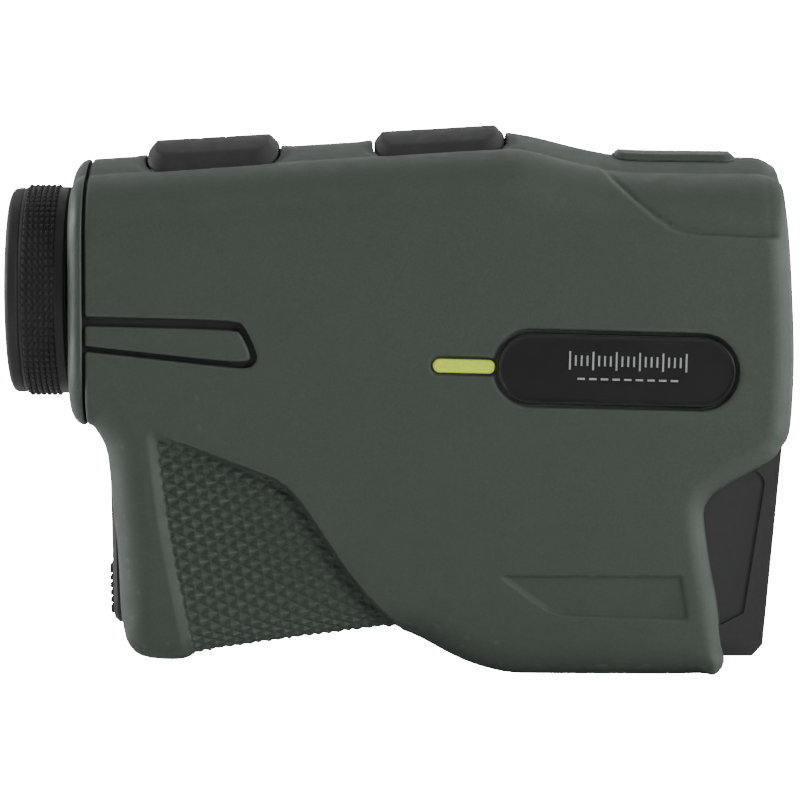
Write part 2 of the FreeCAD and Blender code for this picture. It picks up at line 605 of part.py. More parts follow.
def eyepiece_tube():
    body = turned([(-79.6, TUBE_IN), (-79.6, TUBE_R), (-69.9, TUBE_R), (-69.9, 16.4), (-68.4, 16.4),
                   (-68.4, NECK_R), (-54.5, NECK_R), (-54.5, TUBE_IN)], AXIS_Z)
    body = body.common(envelope(WALL + 0.1)).common(box(-90, -50, -20, 20, 39.0, 80))
    slot_reach = DIOPTER_TURN + math.degrees(FOCUS_PIN_R * 1.3 / TUBE_IN)
    half = FOCUS_PIN_R + 0.1
    body = body.cut(sector(10.5, 13.5, FOCUS_PIN_X - half, FOCUS_PIN_X + half, slot_reach))
    body = body.cut(rod("Z", 0.82, AXIS_Z - 14, AXIS_Z - 8, -66.0, 0))
    for y, z in flange_screw_points():
        body = body.cut(rod("X", 0.95, -75, -60, y, z))
    return body


def helical_groove():
    """Cam groove round the cell: the focus pin rides in it as the diopter ring turns."""
    turn = math.radians(DIOPTER_TURN + 12)
    steps = 14
    width, depth_r = FOCUS_PIN_R + 0.12, CELL_R - 1.1
    wires = []
    for i in range(steps + 1):
        a = -turn + 2 * turn * i / steps
        # The pin keeps its x, so turning it by +a about +X drives the cell forward by the lead.
        x = FOCUS_PIN_X - HELIX_PITCH * a / (2 * math.pi)
        radial = Vector(0, -math.sin(a), math.cos(a))
        centre = Vector(x, 0, AXIS_Z)
        spots = [(depth_r, -width), (depth_r, width), (12.2, width), (12.2, -width)]
        corners = [centre + radial * r + Vector(dx, 0, 0) for r, dx in spots]
        wires.append(Part.makePolygon(corners + corners[:1]))
    return Part.makeLoft(wires, True, False)


def ocular_cell():
    body = turned([(-78.6, CELL_IN), (-78.6, CELL_R), (-59.0, CELL_R), (-59.0, 8.6), (-60.0, 8.6),
                   (-60.0, CELL_IN)], AXIS_Z)
    key_half = FOCUS_TRAVEL + 0.75 + 0.15
    key = rectangle(-66 - key_half, -66 + key_half, -0.85, 0.85, 0.8)
    key = prism(key, "XY", AXIS_Z - 13, AXIS_Z - CELL_R + 1.0)
    return body.cut(helical_groove()).cut(key)


def diopter_ring():
    """U-shaped in section: a neck that runs on the tube, a web, and an outer wall under the rubber grip."""
    floor = -76.2
    mouth, neck = RING_MOUTH_X, TUBE_R + 0.05
    body = turned([(mouth, neck), (mouth, 13.25), (floor, 13.25), (floor, 14.05), (mouth, 14.05),
                   (mouth, 14.45), (-74.9, 14.45), (-74.9, neck)], AXIS_Z)
    return body.cut(rod("Z", FOCUS_PIN_R, AXIS_Z + 9, AXIS_Z + 16, FOCUS_PIN_X, 0))


def diopter_grip():
    """Rubber sleeve with four knurled bands between plain lands."""
    profile = [(-80.7, 14.45), (-80.7, 14.75), (-80.2, 14.9)]
    bands = [(-79.9, -78.7), (-78.4, -77.3), (-77.0, -75.9)]
    for a, b in bands:
        profile += [(a, 14.95), (a + 0.15, 15.25), (b - 0.15, 15.25), (b, 14.95)]
    profile += [(-75.2, 14.95), (-74.9, 14.7), (-74.9, 14.45)]
    return turned(profile, AXIS_Z)


def eyecup():
    """Turned-in rim round the eye, with a thin skirt that slides in the diopter ring's pocket."""
    end = EYECUP_END_X
    skirt_end = RING_MOUTH_X + EYECUP_TRAVEL + 0.9      # 0.9 mm stays engaged when the cup is pulled out
    return turned([(end, 9.6), (end, 13.9), (end + 0.6, 14.5), (end + 1.9, 14.5), (-81.2, 14.1),
                   (-80.9, 13.98), (skirt_end, 13.98), (skirt_end, 13.32), (-81.0, 13.32), (-81.0, 12.0),
                   (-80.2, 11.0), (-80.2, 9.6)], AXIS_Z)


# ---------------------------------------------------------------- prisms (Schmidt-Pechan)
APERTURE = 12.0
PRISM_FRONT_X = -20.0
PRISM_Y = 7.0


def prism_point(u, v):
    """u runs back from the front prism's entrance face, v up from the lower edge of the beam."""
    return (PRISM_FRONT_X - u, AXIS_Z - APERTURE / 2 + v)


def half_penta_prism():
    a = APERTURE
    end = 1.25 * a
    points = [(0, 0), (0, a), (end, a - end), (end, -0.4142 * end)]
    return prism([(*prism_point(u, v), 0) for u, v in points], "XZ", -PRISM_Y, PRISM_Y)


def roof_prism():
    a, gap = APERTURE, 0.15
    points = [(1.207 * a, -0.207 * a + gap), (1.207 * a, 1.5 * a), (gap, a)]
    body = prism([(*prism_point(u, v), 0) for u, v in points], "XZ", -PRISM_Y, PRISM_Y)
    # Two roof faces at right angles meet in a ridge along the upper face.
    slope = math.radians(22.5)
    top = Vector(prism_point(1.207 * a, 1.5 * a)[0], 0, prism_point(1.207 * a, 1.5 * a)[1])
    along = Vector(math.cos(slope), 0, -math.sin(slope))
    normal = Vector(math.sin(slope), 0, math.cos(slope))
    tall = 9.0
    for side in (-1, 1):
        far = Vector(0, side * tall, 0)
        corners = [top - along * 4, top - along * 4 + far - normal * tall, top - along * 4 + far + normal * 3,
                   top - along * 4 + normal * 3]
        wedge = Part.Face(Part.makePolygon(corners + corners[:1])).extrude(along * 30)
        body = body.cut(wedge)
    return body


HOUSING = (-53.6, -8.6, 11.0, 38.0, 65.0)    # x0, x1, half width, z0, z1


def prism_housing():
    x0, x1, w, z0, z1 = HOUSING
    body = box(x0, x1, -w, w, z0, z1)
    body = body.cut(box(x0 + 1.4, x1 - 1.4, -w + 1.6, w - 1.6, z0 + 1.4, z1 + 1))
    body = body.cut(rod("X", 10.2, x1 - 3, x1 + 1, 0, AXIS_Z)).cut(rod("X", 8.4, x0 - 1, x0 + 3, 0, AXIS_Z))
    for y in (-1, 1):
        across = sorted((y * 7.1, y * (w - 1.0)))
        shelf = box(PRISM_FRONT_X - 18.0, PRISM_FRONT_X + 2.0, *across, z0 + 1, z1 - 3)
        body = body.fuse(shelf)
    body = body.cut(rod("Z", 2.9, z0 - 1, z0 + 3, -26.0, 0))
    body = body.cut(rod("Z", 4.2, z0 - 1, z0 + 3, -46.0, 0))
    return body.removeSplitter()


def prism_clip():
    z = HOUSING[4]
    half = HOUSING[2] + 0.4
    strap = box(-32.0, -26.0, -half, half, z + 0.02, z + 0.4)
    legs = [box(-32.0, -26.0, *sorted((y * (HOUSING[2] + 0.02), y * (HOUSING[2] + 0.4))), z - 6, z + 0.4)
            for y in (-1, 1)]
    return fuse(strap, *legs)


# ---------------------------------------------------------------- display
def combiner_prisms():
    """Two right-angle prisms, cemented with a hair of a gap, that fold the display into the eyepiece."""
    x0, x1, z0, z1 = -51.0, -41.0, AXIS_Z - 5, AXIS_Z + 5
    gap = 0.05
    lower = prism([(x0, z0, 0), (x1, z0, 0), (x1, z1 - gap, 0)], "XZ", -5, 5)
    upper = prism([(x0, z0 + gap, 0), (x1, z1, 0), (x0, z1, 0)], "XZ", -5, 5)
    return Part.makeCompound([lower, upper])


def display_lens():
    body = Part.makeCylinder(4.1, 2.4, Vector(-46, 0, 42.0))
    dome = Part.makeSphere(9.0, Vector(-46, 0, 44.9 - 9.0))
    return body.common(dome)


def display_bracket():
    body = box(-53.0 + 1.0, -40.0, -7.0, 7.0, 33.0, 37.9)
    return body.cut(box(-51.2, -40.8, -6.2, 6.2, 32.0, 35.6)).cut(rod("Z", 4.1, 30, 40, -46.0, 0))


def oled_display():
    return box(-51.0, -41.0, -6.0, 6.0, 33.6, 35.4)


# ---------------------------------------------------------------- objective and laser
def objective_barrel():
    return turned([(-8.5, 11.4), (-8.5, 15.0), (19.0, 15.0), (19.0, 13.15), (10.55, 13.15), (10.55, 12.3),
                   (8.0, 12.3), (8.0, 13.6), (-6.5, 13.6), (-6.5, 11.4)], AXIS_Z)


def laser_barrel():
    return turned([(-10.0, 3.2), (-10.0, LASER_TUBE_R), (18.6, LASER_TUBE_R), (18.6, 8.55), (9.5, 8.55),
                   (9.5, 8.0), (-8.4, 8.0), (-8.4, 3.2)], LASER_Z)


def laser_diode():
    return turned([(-12.4, 0), (-12.4, 2.8), (-11.2, 2.8), (-11.2, 2.3), (-8.6, 2.3), (-8.6, 0)], LASER_Z)


def laser_board():
    board = box(-14.0, -12.4, -8.0, 8.0, LASER_Z - 7.5, LASER_Z + 8.5)
    part_a = box(-16.0, -14.0, -5.0, -1.0, LASER_Z - 1, LASER_Z + 4)
    part_b = box(-15.4, -14.0, 1.5, 6.0, LASER_Z - 4, LASER_Z + 2)
    return fuse(board, part_a, part_b)


def apd_sensor():
    can = Part.makeCylinder(2.7, 3.4, Vector(-26, 0, 36.8))
    board = box(-32.0, -20.5, -6.0, 6.0, 35.9, 36.8)
    return fuse(can, board)


# ---------------------------------------------------------------- boards
def main_board():
    return box(-48.0, -9.2, 12.2, 13.2, 38.6, 57.0)


def board_chips():
    chips = [box(-40.0, -32.0, 13.2, 14.3, 43, 51), box(-26.0, -21.0, 13.2, 14.0, 44, 49),
             box(-17.0, -11.0, 13.2, 14.6, 42, 48)]
    chips += [box(-30.0 + 4 * i, -28.6 + 4 * i, 13.2, 13.9, 53.0, 54.0) for i in range(5)]
    return Part.makeCompound(chips)


def button_board():
    return on_deck(prism(rectangle(BOARD_REAR, BOARD_FRONT, -6.4, 6.4, 1.5), "XY", BOARD_LOW, BOARD_TOP))


def switch_bodies():
    bodies = []
    for at in BUTTON_AT.values():
        outline = rectangle(at - 2.6, at + 2.6, -2.6, 2.6, 0.4)
        body = prism(outline, "XY", BOARD_TOP, STEM_END - BUTTON_TRAVEL - 0.05)
        bodies.append(on_deck(body.cut(Part.makeCylinder(1.05, 3, Vector(at, 0, -7)))))
    return Part.makeCompound(bodies)


def switch_plunger(at):
    """Actuator under a button's stem; it still clears the board with the button fully pressed."""
    low = BOARD_TOP + BUTTON_TRAVEL + 0.1
    return on_deck(Part.makeCylinder(1.0, STEM_END - 0.02 - low, Vector(at, 0, low)))


# ---------------------------------------------------------------- battery and its door
def battery():
    body = rod("X", 7.75, -65.85, -39.85, 0, BATTERY_Z)
    return fuse(body, rod("X", 3.0, -39.85, -39.05, 0, BATTERY_Z))


def battery_tube():
    body = rod("X", CELL_BAY_R, -66.0, -35.4, 0, BATTERY_Z).cut(rod("X", 8.0, -70, -36.6, 0, BATTERY_Z))
    trim = on_door(slab(-2.0, 8, -14, 14, -20, 20))
    return body.cut(trim)


def battery_spring():
    """Folded leaf against the tube's floor, with its tongue pressing on the cell's contact nub."""
    t = 0.3
    floor, nub = -36.62, -39.04
    low, high, z = BATTERY_Z - 5.0, BATTERY_Z + 5.0, BATTERY_Z
    strip = [(floor, low), (floor, high), (floor - t, high), (floor - t, low + 2 * t), (nub + 1.0, z - 2.6),
             (nub + t, z - 1.4), (nub + t, z + 1.4), (nub + 1.0, z + 3.0), (nub + 0.7, z + 3.0),
             (nub, z + 1.6),
             (nub, z - 1.6), (nub + 0.8, z - 2.9), (floor - 2 * t, low)]
    return prism(strip, "XZ", -2.0, 2.0)


def battery_door():
    plate = slab(DOOR_IN, DOOR_OUT, -DOOR_W, DOOR_W, DOOR_LOW, DOOR_TOP, DOOR_CORNER_R)
    plate = plate.makeChamfer(0.6, [e for e in plate.Edges if abs(e.CenterOfMass.x + DOOR_OUT) < 1e-3])
    neck = slab(DOOR_IN, 0.5, -KNUCKLE_W, KNUCKLE_W, DOOR_TOP - 2, PIN_H)
    knuckle = rod("Y", KNUCKLE_R, -KNUCKLE_W, KNUCKLE_W, -PIN_U, PIN_H)
    body = fuse(plate, neck, knuckle).cut(rod("Y", PIN_R + 0.05, -4, 4, -PIN_U, PIN_H))
    # Pocket with undercut rails for the sliding latch, and a notch for its toe.
    floor, pad_room, rail_room = LATCH_FLOOR - 0.05, LATCH_W + 0.2, RAIL_W + GAP
    low, top = DOOR_LOW - 3, LATCH_LOW + LATCH_H + 1.2
    body = body.cut(slab(floor, 3, -pad_room, pad_room, low, top))
    body = body.cut(slab(floor, RAIL_TOP + 0.05, -rail_room, rail_room, low, top))
    body = body.cut(slab(DOOR_IN - 1, 3, -TOE_W - 0.2, TOE_W + 0.2, low, TOE_TOP + 0.3))
    seal_seat = rod("X", SEAL_OUT_R + 0.05, -DOOR_IN - SEAL_SEAT, 5).cut(rod("X", SEAL_IN_R - 0.05, 0, 6))
    seal_seat.translate(Vector(0, 0, BATTERY_Z - DOOR_ORIGIN.z))
    return on_door(body.cut(seal_seat))


def door_seal():
    ring = tube("X", SEAL_OUT_R, SEAL_IN_R, -DOOR_IN - SEAL_SEAT + 0.02, -DOOR_IN + 0.12)
    ring.translate(Vector(0, 0, BATTERY_Z - DOOR_ORIGIN.z))
    return on_door(ring)


def door_contact():
    disc = rod("X", 5.0, -DOOR_IN + 0.01, -DOOR_IN + 0.55)
    disc.translate(Vector(0, 0, BATTERY_Z - DOOR_ORIGIN.z))
    return on_door(disc)


def door_latch():
    """Ridged thumb slide on two rails: moved down, it drops its toe behind the chassis lip."""
    pad = slab(LATCH_FLOOR, LATCH_PROUD, -LATCH_W, LATCH_W, LATCH_LOW, LATCH_LOW + LATCH_H, 1.2)
    for i in range(5):
        h = LATCH_LOW + 1.2 + i * 1.05
        pad = pad.cut(slab(LATCH_PROUD - 0.35, 3, -7, 7, h, h + 0.45))
    rails = slab(LATCH_FLOOR, RAIL_TOP, -RAIL_W, RAIL_W, LATCH_LOW + 1.4, LATCH_LOW + 6.4)
    neck = slab(TOE_REACH, LATCH_FLOOR + 0.1, -TOE_W, TOE_W, TOE_TOP - 0.9, TOE_TOP)
    toe = slab(TOE_REACH, TOE_HEEL, -TOE_W, TOE_W, TOE_LOW, TOE_TOP)
    return on_door(fuse(pad, rails, neck, toe))


def hinge_pin():
    return on_door(rod("Y", PIN_R - 0.01, -6.1, 6.1, -PIN_U, PIN_H))


# ---------------------------------------------------------------- fasteners
def tripod_bush():
    """Brass insert for a quarter-inch tripod screw, its bore at the thread's minor radius."""
    body = fuse(rod("Z", BUSH_R, 0, BUSH_H), rod("Z", BUSH_FLANGE_R, *BUSH_FLANGE))
    return body.cut(rod("Z", TRIPOD_BORE_R, -1, TRIPOD_BORE_DEPTH))


def shell_screws():
    return Part.makeCompound([screw("Y", 2.0, 1.3, 1.0, screw_seat(x) + 8.5, (x, screw_seat(x), z), -1)
                              for x, z in SCREW_AT])


def cover_screws():
    group = [screw("X", 1.6, 0.95, 0.8, 8.0, (BEZEL_FACE_X - 1.1, y, z), -1) for y, z in BEZEL_SCREW_AT]
    group += [screw("X", 1.6, 0.95, 0.8, 5.2, (-68.4, y, z), -1) for y, z in flange_screw_points()]
    return Part.makeCompound(group)


# ---------------------------------------------------------------- write every node
PARTS = {
    "armour_right": lambda: armour(-1),
    "armour_left": lambda: armour(1),
    "side_inlays": side_inlays,
    "chassis_right": lambda: chassis(-1),
    "chassis_left": lambda: chassis(1),
    "front_bezel": front_bezel,
    "rear_cap": rear_cap,
    "rear_gasket": rear_gasket,
    "top_plate": top_plate,
    "nameplates": nameplates,
    "accent_bars": accent_bars,
    "power_button": lambda: button("power"),
    "mode_button": lambda: button("mode"),
    "button_board": button_board,
    "switch_bodies": switch_bodies,
    "power_switch_plunger": lambda: switch_plunger(BUTTON_AT["power"]),
    "mode_switch_plunger": lambda: switch_plunger(BUTTON_AT["mode"]),
    "objective_barrel": objective_barrel,
    "objective_crown_lens": lambda: lens(13.1, 13.6, 15.4, 1.2, 1.6, AXIS_Z),
    "objective_flint_lens": lambda: lens(13.1, 10.62, 13.55, 0.4, -1.2, AXIS_Z),
    "objective_retaining_ring": lambda: tube("X", 13.1, 12.0, 15.75, 18.6, 0, AXIS_Z),
    "prism_housing": prism_housing,
    "half_penta_prism": half_penta_prism,
    "roof_prism": roof_prism,
    "prism_clip": prism_clip,
    "combiner_prisms": combiner_prisms,
    "display_lens": display_lens,
    "display_bracket": display_bracket,
    "oled_display": oled_display,
    "field_stop": lambda: tube("X", 11.15, 5.5, -56.2, -54.8, 0, AXIS_Z),
    "eyepiece_tube": eyepiece_tube,
    "ocular_cell": ocular_cell,
    "field_lens": lambda: lens(9.55, -62.75, -60.2, 1.0, 0.6, AXIS_Z),
    "eye_lens": lambda: lens(9.55, -76.4, -72.0, 0.6, 1.4, AXIS_Z),
    "ocular_spacer": lambda: tube("X", 9.55, 8.7, -71.7, -63.0, 0, AXIS_Z),
    "ocular_retaining_ring": lambda: tube("X", 9.55, 8.6, -78.0, -76.55, 0, AXIS_Z),
    "guide_screw": lambda: rod("Z", 0.75, AXIS_Z - 12.0, AXIS_Z - CELL_R + 0.8, -66.0, 0),
    "diopter_ring": diopter_ring,
    "diopter_grip": diopter_grip,
    "focus_pin": lambda: rod("Z", FOCUS_PIN_R - 0.01, AXIS_Z + CELL_R - 0.9, AXIS_Z + 13.2, FOCUS_PIN_X, 0),
    "eyecup": eyecup,
    "laser_barrel": laser_barrel,
    "laser_lens": lambda: lens(8.5, 9.6, 12.0, 0.5, 1.6, LASER_Z),
    "laser_diode": laser_diode,
    "laser_board": laser_board,
    "apd_sensor": apd_sensor,
    "main_board": main_board,
    "board_chips": board_chips,
    "battery": battery,
    "battery_tube": battery_tube,
    "battery_spring": battery_spring,
    "battery_door": battery_door,
    "door_seal": door_seal,
    "door_contact": door_contact,
    "door_latch": door_latch,
    "hinge_pin": hinge_pin,
    "tripod_bush": tripod_bush,
    "shell_screws": shell_screws,
    "cover_screws": cover_screws,
}

os.makedirs("parts", exist_ok=True)
for name, make in PARTS.items():
    shape = make()
    solids = shape.Solids
    if not shape.isValid() or not solids:
        print("CHECK", name, "valid", shape.isValid(), "solids", len(solids))
    print(name, "solids", len(solids), "volume", round(shape.Volume, 1))
    whole = solids[0] if len(solids) == 1 else Part.makeCompound(solids)
    whole.exportStep(os.path.join("parts", name + ".step"))
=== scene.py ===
"""Looks of the hand-held laser rangefinder: metres, +X to the target, +Y to the user's left, +Z up.

Moulded covers are sampled as distance fields in millimetres on a grid and turned into closed quad
meshes, turned parts are lathed, and the parts of the mechanism keep their shape and get softened
edges and materials.
"""
import json
import math

import bmesh
import bpy
import numpy as np
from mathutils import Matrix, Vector


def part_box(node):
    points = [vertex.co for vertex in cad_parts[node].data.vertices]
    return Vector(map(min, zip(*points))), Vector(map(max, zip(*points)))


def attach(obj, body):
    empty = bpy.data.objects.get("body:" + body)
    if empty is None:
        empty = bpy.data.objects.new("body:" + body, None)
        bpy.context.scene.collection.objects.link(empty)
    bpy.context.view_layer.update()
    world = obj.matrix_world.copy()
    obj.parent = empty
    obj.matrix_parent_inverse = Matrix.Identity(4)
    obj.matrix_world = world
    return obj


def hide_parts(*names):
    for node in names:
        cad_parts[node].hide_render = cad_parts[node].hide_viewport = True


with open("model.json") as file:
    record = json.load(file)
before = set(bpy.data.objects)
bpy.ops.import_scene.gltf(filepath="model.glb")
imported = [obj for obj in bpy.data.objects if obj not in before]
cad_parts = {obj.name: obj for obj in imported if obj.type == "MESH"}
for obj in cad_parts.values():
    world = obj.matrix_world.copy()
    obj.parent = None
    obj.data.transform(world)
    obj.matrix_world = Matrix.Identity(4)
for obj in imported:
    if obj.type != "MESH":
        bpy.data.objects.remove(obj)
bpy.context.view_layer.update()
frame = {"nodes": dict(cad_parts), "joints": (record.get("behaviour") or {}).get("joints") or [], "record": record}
NODES = frame["nodes"]
MM = 0.001


# ---------------------------------------------------------------- distance fields
def path_distance(px, pz, points):
    """Distance to an open line of points."""
    best = np.full(px.shape, 1e9)
    for (x0, z0), (x1, z1) in zip(points, points[1:]):
        ex, ez = x1 - x0, z1 - z0
        t = np.clip(((px - x0) * ex + (pz - z0) * ez) / (ex * ex + ez * ez + 1e-12), 0, 1)
        best = np.minimum(best, (px - x0 - t * ex) ** 2 + (pz - z0 - t * ez) ** 2)
    return np.sqrt(best)


def polygon_field(px, pz, points):
    """Signed distance to a closed outline, negative inside."""
    ring = points + points[:1]
    inside = np.zeros(px.shape, bool)
    for (x0, z0), (x1, z1) in zip(ring, ring[1:]):
        crosses = (z0 > pz) != (z1 > pz)
        if z0 != z1:
            inside ^= crosses & (px < (x1 - x0) * (pz - z0) / (z1 - z0) + x0)
    return np.where(inside, -1.0, 1.0) * path_distance(px, pz, ring)


def rounded_and(a, b, r):
    """Overlap of two fields with a fillet of radius r along their common edge."""
    u, v = np.maximum(a + r, 0), np.maximum(b + r, 0)
    return np.minimum(np.maximum(a, b) + r, 0) + np.sqrt(u * u + v * v) - r


def soft_step(d, width):
    """1 well inside an outline (d negative), 0 outside, easing over width about the line."""
    t = np.clip(0.5 - d / width, 0, 1)
    return t * t * (3 - 2 * t)


def rectangle_field(u, v, hu, hv, r):
    """Signed distance to a rounded rectangle of half sizes hu, hv about the origin."""
    du, dv = np.abs(u) - hu + r, np.abs(v) - hv + r
    return np.hypot(np.maximum(du, 0), np.maximum(dv, 0)) + np.minimum(np.maximum(du, dv), 0) - r


def surface_net(field, axes):
    """Vertices and quads of a field's zero level on a grid whose spacing may vary along each axis."""
    dims = np.array(field.shape) - 1
    inside = field < 0
    ids, points, quads = [], [], []
    for axis in range(3):
        lower = [slice(None)] * 3
        upper = [slice(None)] * 3
        lower[axis], upper[axis] = slice(0, -1), slice(1, None)
        lower, upper = tuple(lower), tuple(upper)
        where = np.array(np.nonzero(inside[lower] != inside[upper]))
        b, c = (axis + 1) % 3, (axis + 2) % 3
        keep = (where[b] > 0) & (where[b] < dims[b]) & (where[c] > 0) & (where[c] < dims[c])
        where = where[:, keep]
        ahead = where.copy()
        ahead[axis] += 1
        f0, f1 = field[tuple(where)], field[tuple(ahead)]
        t = f0 / (f0 - f1)
        at = np.stack([axes[k][where[k]] for k in range(3)], 1).astype(float)
        at[:, axis] += t * (axes[axis][ahead[axis]] - axes[axis][where[axis]])
        corners = []
        for db, dc in ((-1, -1), (0, -1), (0, 0), (-1, 0)):
            cell = where.copy()
            cell[b] += db
            cell[c] += dc
            corners.append((cell[0] * dims[1] + cell[1]) * dims[2] + cell[2])
            points.append(at)
        ids += corners
        ring = np.stack(corners, 1)
        ring[f0 > 0] = ring[f0 > 0][:, ::-1]
        quads.append(ring)
    flat = np.concatenate(ids)
    unique, index = np.unique(flat, return_inverse=True)
    total = np.bincount(index)
    stacked = np.concatenate(points)
    verts = np.stack([np.bincount(index, stacked[:, k]) / total for k in range(3)], 1)
    quads = np.searchsorted(unique, np.concatenate(quads))
    return verts, quads


def make_object(name, verts, faces, material, smooth=True):
    """Mesh object from millimetre coordinates."""
    mesh = bpy.data.meshes.new(name)
    if isinstance(faces, np.ndarray):
        mesh.vertices.add(len(verts))
        mesh.vertices.foreach_set("co", (np.asarray(verts) * MM).astype(np.float32).ravel())
        mesh.loops.add(faces.size)
        mesh.loops.foreach_set("vertex_index", faces.astype(np.int32).ravel())
        mesh.polygons.add(len(faces))
        mesh.polygons.foreach_set("loop_start", np.arange(0, faces.size, faces.shape[1], dtype=np.int32))
        mesh.update(calc_edges=True)
    else:
        mesh.from_pydata([tuple(c * MM for c in v) for v in verts], [], faces)
    mesh.validate()
    mesh.polygons.foreach_set("use_smooth", [smooth] * len(mesh.polygons))
    mesh.materials.append(material)
    obj = bpy.data.objects.new(name, mesh)
    bpy.context.scene.collection.objects.link(obj)
    return obj


def spaced(*spans):
    """Grid coordinates from (start, end, step) spans laid end to end."""
    out = []
    for start, end, step in spans:
        count = max(1, int(round((end - start) / step)))
        out.append(np.linspace(start, end, count, endpoint=False))
    out.append([spans[-1][1]])
    return np.concatenate(out)


def piece(obj, body, slot, *nodes):
    """Parents a finished piece to the body it rides on and hides the plain parts it stands in for; slot is not used.
    """
    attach(obj, body)
    if nodes:
        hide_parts(*nodes)
    return obj


# ---------------------------------------------------------------- materials
class Shader:
    """A node material with the handful of pieces every finish here is made from."""

    def __init__(self, name):
        self.material = bpy.data.materials.new(name)
        self.material.use_nodes = True
        self.tree = self.material.node_tree
        self.tree.nodes.clear()
        self.out = self.add("ShaderNodeOutputMaterial")
        self.bsdf = self.add("ShaderNodeBsdfPrincipled")
        self.link(self.bsdf.outputs["BSDF"], self.out.inputs["Surface"])
        self.coords = self.add("ShaderNodeTexCoord").outputs["Object"]

    def add(self, kind, **values):
        node = self.tree.nodes.new(kind)
        for key, value in values.items():
            setattr(node, key, value)
        return node

    def link(self, a, b):
        self.tree.links.new(a, b)

    def noise(self, size_mm, detail=2.0, rough=0.5):
        """Noise whose features are about size_mm across."""
        node = self.add("ShaderNodeTexNoise")
        node.inputs["Scale"].default_value = 1.0 / (size_mm * MM)
        node.inputs["Detail"].default_value = detail
        node.inputs["Roughness"].default_value = rough
        self.link(self.coords, node.inputs["Vector"])
        return node.outputs["Fac"]

    def cells(self, size_mm):
        node = self.add("ShaderNodeTexVoronoi")
        node.inputs["Scale"].default_value = 1.0 / (size_mm * MM)
        self.link(self.coords, node.inputs["Vector"])
        return node.outputs["Distance"]

    def ramp(self, value, low, high, a, b):
        """Maps value from low..high to colours or levels a..b."""
        node = self.add("ShaderNodeValToRGB")
        node.color_ramp.elements[0].position = low
        node.color_ramp.elements[1].position = high
        for element, colour in zip(node.color_ramp.elements, (a, b)):
            element.color = (*colour, 1) if isinstance(colour, tuple) else (colour, colour, colour, 1)
        self.link(value, node.inputs["Fac"])
        return node.outputs["Color"]

    def feed(self, socket, value):
        """Gives a socket another node's output, a colour or a plain level."""
        if hasattr(value, "links"):
            self.link(value, socket)
        else:
            socket.default_value = (*value, 1) if isinstance(value, tuple) else value

    def mix(self, factor, a, b, kind="MIX"):
        node = self.add("ShaderNodeMixRGB", blend_type=kind)
        for socket, value in zip(("Fac", "Color1", "Color2"), (factor, a, b)):
            self.feed(node.inputs[socket], value)
        return node.outputs["Color"]

    def edges(self, low=0.51, high=0.56):
        """Convex edges, where the colour of a moulding is lightened as a painted highlight."""
        point = self.add("ShaderNodeNewGeometry").outputs["Pointiness"]
        return self.ramp(point, low, high, 0.0, 1.0)

    def bump(self, height, strength, depth_mm, after=None):
        node = self.add("ShaderNodeBump")
        node.inputs["Strength"].default_value = strength
        node.inputs["Distance"].default_value = depth_mm * MM
        self.link(height, node.inputs["Height"])
        if after is not None:
            self.link(after, node.inputs["Normal"])
        return node.outputs["Normal"]

    def set(self, **values):
        for key, value in values.items():
            self.feed(self.bsdf.inputs[key.replace("_", " ")], value)


def shade(colour, k):
    return tuple(min(1.0, c * k) for c in colour)


def moulded(name, colour, rough=0.55, grain=0.25, depth=0.03, strength=0.35, edge_highlight=0.25):
    """Moulded rubber or plastic: fine spark-eroded grain, faint mottling, and a painted highlight that lightens
    convex edges.
    """
    s = Shader(name)
    mottling = s.ramp(s.noise(9.0, 4.0), 0.3, 0.7, shade(colour, 0.975), shade(colour, 1.025))
    speckle = s.ramp(s.noise(grain * 1.6, 3.0, 0.7), 0.35, 0.7, 0.86, 1.14)
    body = s.mix(0.6, mottling, s.mix(1.0, mottling, speckle, "MULTIPLY"))
    # Painted highlight: the colour is lightened along convex edges, standing in for the light that catches them.
    highlighted = s.mix(s.mix(1.0, s.edges(), (edge_highlight, edge_highlight, edge_highlight), "MULTIPLY"), body, shade(colour, 2.1))
    fine = s.bump(s.noise(grain, 3.0, 0.65), strength, depth)
    coarse = s.bump(s.noise(6.0, 2.0), 0.05, 0.05, fine)
    roughness = s.ramp(s.noise(3.0, 4.0), 0.3, 0.7, rough - 0.06, rough + 0.06)
    s.set(Base_Color=highlighted, Roughness=roughness, Normal=coarse, Specular_IOR_Level=0.4)
    return s.material


def metal(name, colour, rough=0.3, brush_mm=0.12, axis=0):
    """Turned or brushed metal with fine tool marks across the given axis."""
    s = Shader(name)
    stretch = s.add("ShaderNodeMapping")
    scale = [40.0, 40.0, 40.0]
    scale[axis] = 1.0 / (brush_mm * MM)
    stretch.inputs["Scale"].default_value = scale
    s.link(s.coords, stretch.inputs["Vector"])
    marks = s.add("ShaderNodeTexNoise")
    marks.inputs["Scale"].default_value = 1.0
    marks.inputs["Detail"].default_value = 3.0
    s.link(stretch.outputs["Vector"], marks.inputs["Vector"])
    tint = s.ramp(s.noise(5.0, 3.0), 0.3, 0.7, shade(colour, 0.9), shade(colour, 1.05))
    rub = s.ramp(marks.outputs["Fac"], 0.3, 0.7, rough - 0.08, rough + 0.1)
    s.set(Base_Color=tint, Metallic=1.0, Roughness=rub, Normal=s.bump(marks.outputs["Fac"], 0.2, 0.01))
    return s.material


def glass(name, coat, tint):
    """Coated optical glass: clear, with a coloured reflection from its multilayer coating."""
    s = Shader(name)
    smear = s.ramp(s.noise(4.0, 5.0), 0.45, 0.75, 0.01, 0.05)
    s.set(Base_Color=tint, Roughness=smear, IOR=1.52, Transmission_Weight=1.0)
    s.set(Coat_Weight=1.0, Coat_Roughness=0.02, Coat_IOR=1.8)
    s.bsdf.inputs["Coat Tint"].default_value = (*coat, 1)
    s.bsdf.inputs["Specular Tint"].default_value = (*coat, 1)
    return s.material


